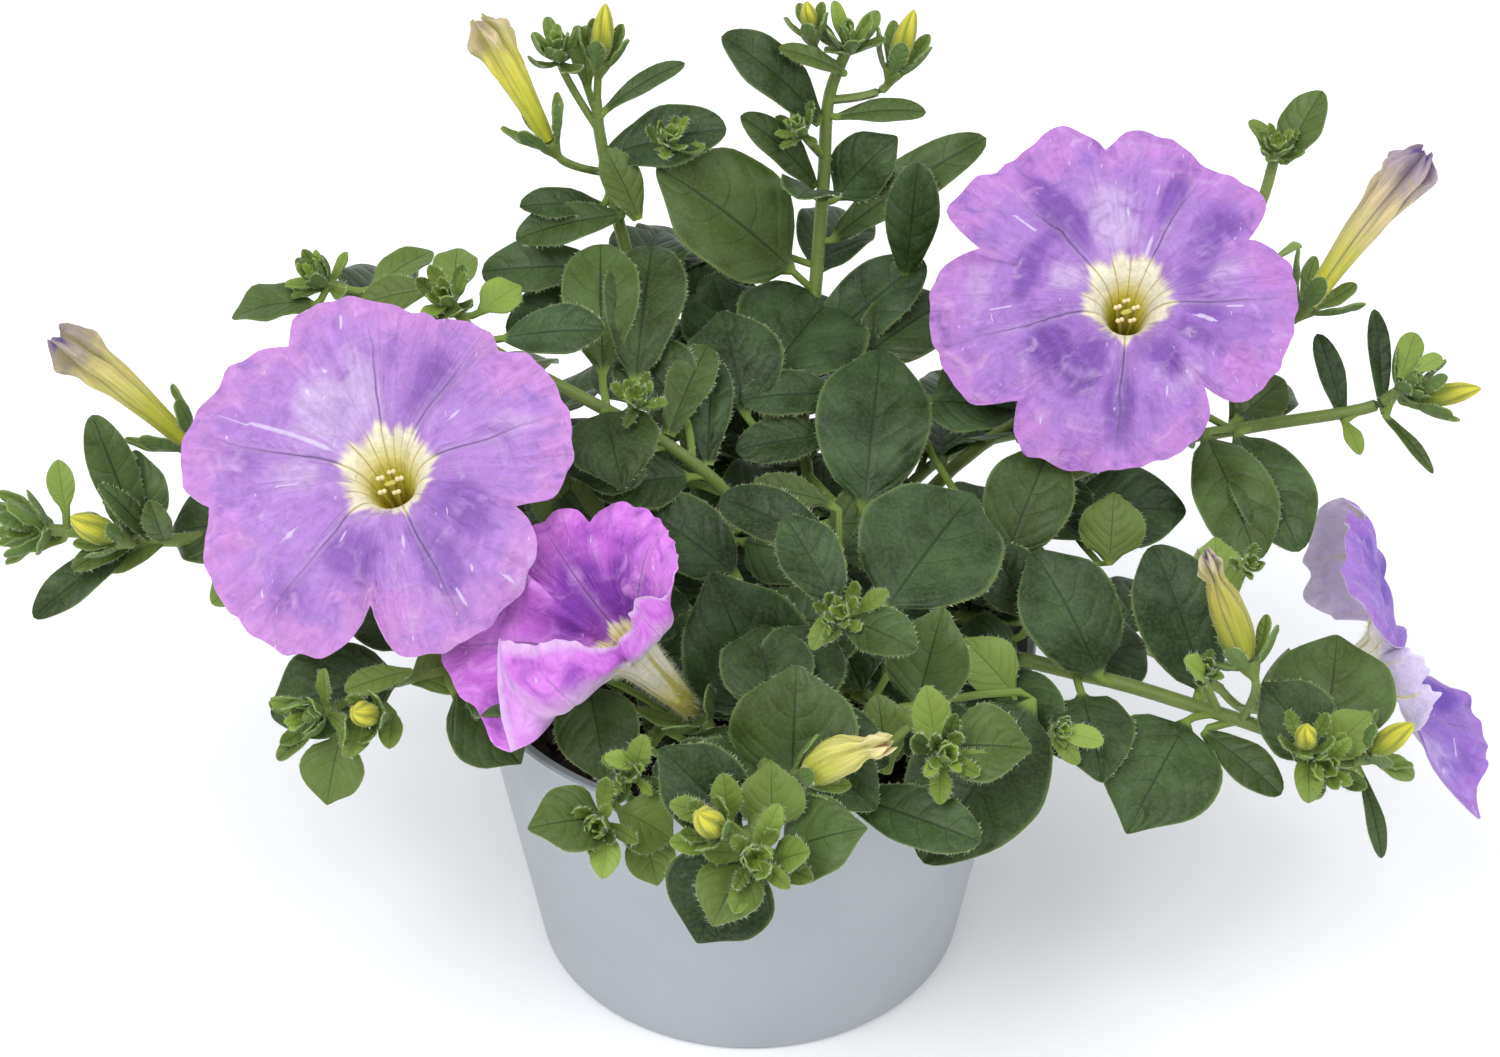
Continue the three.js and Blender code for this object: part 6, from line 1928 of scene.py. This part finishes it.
@dataclass
class Pod:
    """A closed flower: a bud or a withered one, on the line from its seat to its tip."""

    name: str
    seat: Point
    tip: Point
    radius: float
    state: Wither
    skin: PodSkin
    seed: int = 3

    def profile(self, z: Array) -> Array:
        """Give the radius at shares of the length.

        Args:
            z: The shares.

        Returns:
            The radii in millimetres.
        """
        shares, widths = {
            Wither.BUD: ([0, 0.08, 0.45, 0.82, 0.96, 1], [0.5, 0.72, 1, 0.62, 0.25, 0.05]),
            Wither.ROLLED: ([0, 0.05, 0.25, 0.5, 0.75, 0.93, 1], [0.36, 0.42, 0.56, 0.78, 1, 0.95, 0.42]),
            Wither.CRUMPLED: ([0, 0.08, 0.35, 0.6, 0.74, 0.9, 1], [0.45, 0.8, 1.15, 0.95, 0.6, 0.85, 0.35]),
        }[self.state]
        return self.radius * rounded(z, shares, widths)

    def build(self) -> None:
        """Build the closed flower with its hairs."""
        origin, tip = np.array(self.seat, float), np.array(self.tip, float)
        long = float(np.linalg.norm(tip - origin))
        axis = unit(tip - origin)
        side = square_to(axis, (0.9, 0.1, 0.3))
        over = np.cross(axis, side)
        x, y, z = POD_TUBE.places.T
        angle, radius = np.arctan2(y, x), self.profile(z)
        # Grip is how far the furrows have deepened at each point
        bud = self.state is Wither.BUD
        grip = step(0.05, 0.6, z) if bud else step(0.3, 0.95, z)
        depth = {Wither.BUD: 0.12, Wither.ROLLED: 0.5, Wither.CRUMPLED: 0.55}[self.state]
        wander = 0 if bud else 0.5 * np.sin(3 * angle + self.seed)
        fold = 0.5 + 0.5 * np.cos(5 * angle + (2.6 if bud else 2.0) * z * 2 + wander)
        radius = radius * (1 - depth * grip * fold**2)
        # The shrivelled tip falls into five small flaps of uneven length
        flap = 0 if bud else step(0.72, 0.95, z)
        crinkle = np.sin(9 * angle + 14 * z + self.seed) + np.sin(4 * angle - 23 * z)
        rise, bend = long * z, np.zeros_like(z)
        if not bud:
            radius = radius * (1 + 0.1 * grip * crinkle + 0.03 * np.sin(5 * angle) * (1 - grip))
            wavy = 0.22 * np.sin(5 * angle + self.seed) + 0.12 * np.sin(13 * angle + 9 * z)
            radius = radius * (1 + flap * wavy)
            bend = 0.06 * long * np.sin(math.pi * z)
            ragged = 1.5 * np.cos(5 * angle + 1 + self.seed) + 0.8 * np.sin(8 * angle + self.seed)
            rise = rise + step(0.78, 0.97, z) * ragged * (1 - 0.8 * step(0.97, 1, z)) - 1.2 * step(0.96, 1, z)
        places = origin + axis * (0.35 + rise * (1 - 0.35 / long))[:, None] + over * bend[:, None]
        places = places + (side * np.cos(angle)[:, None] + over * np.sin(angle)[:, None]) * radius[:, None]
        inside = 0 * z if bud else step(0.95, 1, z)
        marks = np.stack([grip * fold**4, inside, z, z], 1)
        growth = Growth()
        growth.add(POD_TUBE, places, 0, marks, np.stack([angle / (2 * math.pi) + 0.5, z], 1))
        rng = np.random.default_rng(self.seed)
        pick = rng.integers(0, len(places), int(long * self.radius * 3.6))
        pick = pick[z[pick] < 0.85]
        out = side * np.cos(angle[pick])[:, None] + over * np.sin(angle[pick])[:, None]
        ways = out + 0.4 * axis + rng.normal(0, 0.2, out.shape)
        growth.hairs(places[pick], ways, rng.uniform(0.4, 0.9, len(pick)), 1)
        prefix = "bud" if bud else "spent_flower"
        made = growth.piece(f"{prefix}_skin_{self.name}", [self.skin.material(), PLANT_HAIR], crease=80)
        fit(made, f"{prefix}_{self.name}")


BUD_SKIN = PodSkin("yellow_bud_skin", foot="#8a9a38", belly="#b5b232", tip="#c6c237", furrow="#76842a")
ROLLED_SKIN = PodSkin("withered_petal_skin", foot="#b2b52e", belly="#c8bc72", tip="#968a7e", furrow="#7b7340")
YELLOWED_SKIN = PodSkin(
    "yellowed_petal_skin", foot="#b0b42c", belly="#cfc850", tip="#bdae86", furrow="#8d8a2e", core="#a8977a",
)
SWOLLEN_SKIN = PodSkin(
    "swollen_petal_skin", foot="#aeb23c", belly="#c8c268", tip="#d3ca90", furrow="#868a30", core="#8a6c3c",
)
OLIVE_SKIN = PodSkin("olive_withered_skin", foot="#9ca030", belly="#a89f44", tip="#b3a987", furrow="#55503a")
STRIPED_SKIN = PodSkin(
    "striped_withered_skin", foot="#b6b52e", belly="#c9b888", tip="#a0909a", furrow="#4a3a50",
)

PODS = [
    Pod("left", (-118, 13, 119), (-143, 17, 143), 4.6, Wither.ROLLED, ROLLED_SKIN, 1),
    Pod("back_left", (-43, 64, 161), (-57, 70, 187), 4.2, Wither.ROLLED, YELLOWED_SKIN, 2),
    Pod("right", (119, 42, 134), (142, 52, 166), 4.8, Wither.ROLLED, STRIPED_SKIN, 3),
    Pod("right_front", (99, -42, 105), (90, -31, 124), 3.2, Wither.CRUMPLED, OLIVE_SKIN, 4),
    Pod("front", (10, -80, 108), (26, -83, 119), 3.4, Wither.CRUMPLED, SWOLLEN_SKIN, 5),
    Pod("left", (-131, -7, 109), (-139, -9, 116), 3, Wither.BUD, BUD_SKIN, 6),
    Pod("left_front", (-74, -54, 101), (-77.5, -58.5, 106), 2.6, Wither.BUD, BUD_SKIN, 7),
    Pod("front", (-6, -97, 110), (-9.5, -101, 118), 2.8, Wither.BUD, BUD_SKIN, 8),
    Pod("right_front", (110, -55, 94), (109, -57.5, 101.5), 2.2, Wither.BUD, BUD_SKIN, 9),
    Pod("right_front_outer", (124, -50, 88), (132, -50, 95.5), 2.6, Wither.BUD, BUD_SKIN, 10),
    Pod("right", (143, 30, 118), (155, 28, 122), 2.4, Wither.BUD, BUD_SKIN, 11),
    Pod("back", (31, 78, 171), (35, 80, 184), 2.4, Wither.BUD, BUD_SKIN, 12),
    Pod("back_inner", (13, 80, 179), (12, 80, 186), 1.8, Wither.BUD, BUD_SKIN, 13),
    Pod("back_left", (-32, 74, 175), (-30.5, 75.5, 188), 2.4, Wither.BUD, BUD_SKIN, 14),
]


# Pot and soil


@dataclass
class Pot:
    """The nursery pot: a plain straight taper with a low outer lip and six drain holes."""

    height: float = 80
    rim: float = 60
    foot: float = 47
    wall: float = 1.3
    floor: float = 1.6
    lip_height: float = 3
    lip_width: float = 0.9
    holes: int = 6
    hole_radius: float = 4
    hole_ring: float = 28

    def build(self) -> None:
        """Turn the shell, cut its drain holes and ease its edges."""
        slope = (self.rim - self.foot) / self.height
        lip = self.height - self.lip_height

        def radius(z: float) -> float:
            """Give the outer radius at a height."""
            return self.foot + slope * z

        brim, inner = self.rim + self.lip_width, self.rim - self.wall
        profile = [
            (0, 0.6), (self.foot - 4, 0.6), (self.foot - 3, 0), (self.foot - 1, 0), (radius(1), 1),
            (radius(lip), lip), (radius(lip) + self.lip_width, lip + 0.7), (brim, self.height - 0.5),
            (brim - 0.5, self.height), (inner + 0.3, self.height), (inner, self.height - 0.4),
            (radius(self.floor + 2) - self.wall, self.floor + 2),
            (radius(self.floor) - self.wall - 2, self.floor), (0, self.floor),
        ]
        bm = bmesh.new()
        corners = [bm.verts.new((r * MM, 0, z * MM)) for r, z in profile]
        edges = [bm.edges.new(pair) for pair in zip(corners, corners[1:])]
        bmesh.ops.spin(
            bm, geom=corners + edges, axis=(0, 0, 1), cent=(0, 0, 0), dvec=(0, 0, 0), angle=2 * math.pi,
            steps=128, use_merge=True, use_normal_flip=False, use_duplicate=False,
        )
        bmesh.ops.remove_doubles(bm, verts=bm.verts, dist=1e-6)
        bmesh.ops.recalc_face_normals(bm, faces=bm.faces)
        shell = solid(bm, "pot_shell")
        bm = bmesh.new()
        bore = self.hole_radius * MM
        for i in range(self.holes):
            turn = 2 * math.pi * i / self.holes
            made = bmesh.ops.create_cone(
                bm, cap_ends=True, segments=32, radius1=bore, radius2=bore, depth=0.01,
            )
            place = (self.hole_ring * math.cos(turn) * MM, self.hole_ring * math.sin(turn) * MM, 0)
            bmesh.ops.translate(bm, vec=place, verts=made["verts"])
        drill = solid(bm, "drill")
        cut = shell.modifiers.new("drain_holes", "BOOLEAN")
        cut.object, cut.operation, cut.solver = drill, "DIFFERENCE", "EXACT"
        bpy.context.view_layer.update()
        graph = bpy.context.evaluated_depsgraph_get()
        shell.data = bpy.data.meshes.new_from_object(shell.evaluated_get(graph))
        shell.modifiers.clear()
        bpy.data.objects.remove(drill)
        shell.data.materials.clear()
        shell.data.materials.append(PotPlastic().material())
        shell.data.shade_smooth()
        shell.data.set_sharp_from_angle(angle=math.radians(35))
        fit(shell, "pot")


@dataclass
class Soil:
    """The compost: a filled body with a crumbled top."""

    top: float = 70
    crown: float = 73
    rim: float = 56.6
    foot: float = 45.8
    crumbs: int = 900
    seed: int = 21

    def build(self) -> None:
        """Turn the body and strew its top with crumbs."""
        rng = np.random.default_rng(self.seed)
        body = Pattern.tube(96, 40)
        x, y, z = body.places.T
        # The first rows are the side wall, and the rest run in over the top
        side = np.minimum(z / 0.2, 1)
        over = np.clip((z - 0.2) / 0.8, 0, 1)
        radius = (self.foot + (self.rim - self.foot) * side) * (1 - 0.985 * over)
        height = 2.2 + (self.top - 2.2) * side + (self.crown - self.top) * (1 - (1 - over) ** 2)
        place = np.stack([x * radius, y * radius, height], 1)
        bumps = np.sin(place[:, 0] * 0.9) * np.cos(place[:, 1] * 1.1 + place[:, 0] * 0.3)
        bumps = bumps + rng.normal(0, 0.5, len(z))
        place[:, 2] += 0.7 * bumps * step(0, 0.05, over) * (over > 0)
        growth = Growth()
        growth.add(body, place)
        reach = 55 * np.sqrt(rng.random(self.crumbs))
        turn = rng.random(self.crumbs) * 2 * math.pi
        size = rng.uniform(0.7, 2.4, (self.crumbs, 1, 1)) * rng.uniform(0.6, 1.2, (self.crumbs, 1, 3))
        level = self.top + (self.crown - self.top) * (1 - (reach / 57) ** 2)
        centres = np.stack([reach * np.cos(turn), reach * np.sin(turn), level + 0.2], 1)
        lumpy = CLOD.places[None] * (1 + rng.normal(0, 0.14, (self.crumbs, len(CLOD.places), 1)))
        growth.add(CLOD, centres[:, None] + lumpy * size)
        fit(growth.piece("crumbled_soil", [Peat().material()], crease=50), "soil")


# Studio


@dataclass(frozen=True)
class Studio:
    """The camera at the photograph's angle, a pale floor and soft light."""

    eye: Point = (0, -572, 545)
    pitch: float = 37.5
    lens: float = 83.06
    floor_tone: str = "#fbfbfb"

    def lamp(self, name: str, place: Point, target: Point, size: float, power: float) -> None:
        """Hang a soft square lamp.

        Args:
            name: The lamp's name.
            place: Where it hangs, in millimetres.
            target: Where it points.
            size: Its side in metres.
            power: Its power in watts.
        """
        light = bpy.data.lights.new(name, "AREA")
        light.size, light.energy = size, power
        made = bpy.data.objects.new(name, light)
        made.location = [p * MM for p in place]
        way = unit(np.array(target, float) - np.array(place, float))
        made.rotation_euler = (math.acos(-way[2]), 0, math.atan2(way[1], way[0]) - math.pi / 2)
        bpy.context.scene.collection.objects.link(made)

    def build(self) -> None:
        """Set up the camera, the floor and the light."""
        scene = bpy.context.scene
        camera = bpy.data.objects.new("camera", bpy.data.cameras.new("camera"))
        camera.data.lens, camera.data.sensor_width = self.lens, 36
        camera.data.clip_start = 0.01
        camera.location = [p * MM for p in self.eye]
        camera.rotation_euler = (math.radians(90 - self.pitch), 0, 0)
        scene.collection.objects.link(camera)
        scene.camera = camera
        bm = bmesh.new()
        bmesh.ops.create_grid(bm, x_segments=1, y_segments=1, size=6)
        floor = solid(bm, "floor")
        made, add = start("matt_white_card")
        add("OutputMaterial", add("BsdfPrincipled", {"Base Color": self.floor_tone, "Roughness": 0.9}))
        floor.data.materials.append(made)
        world = bpy.data.worlds.new("soft_room")
        world.use_nodes = True
        world.node_tree.nodes["Background"].inputs[0].default_value = linear("#f6f8ff")
        world.node_tree.nodes["Background"].inputs[1].default_value = 0.9
        scene.world = world
        scene.view_settings.view_transform = "Standard"
        self.lamp("key", (-1500, -1600, 3200), (0, 0, 90), 2.2, 78)
        self.lamp("fill", (2400, -1000, 2400), (0, 0, 90), 2.6, 40)


def main() -> None:
    """Build the plant from the pot up."""
    logging.basicConfig(level=logging.INFO, format="%(message)s")
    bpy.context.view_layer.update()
    Studio().build()
    Pot().build()
    Soil().build()
    for k, shoot in enumerate(SHOOTS):
        shoot.seed = k + 1
        shoot.build()
    pollen = Pollen().material()
    for flower in OPEN_FLOWERS:
        flower.petals()
        flower.stamens(pollen)
    for pod in PODS:
        pod.build()


if __name__ == "__main__":
    main()
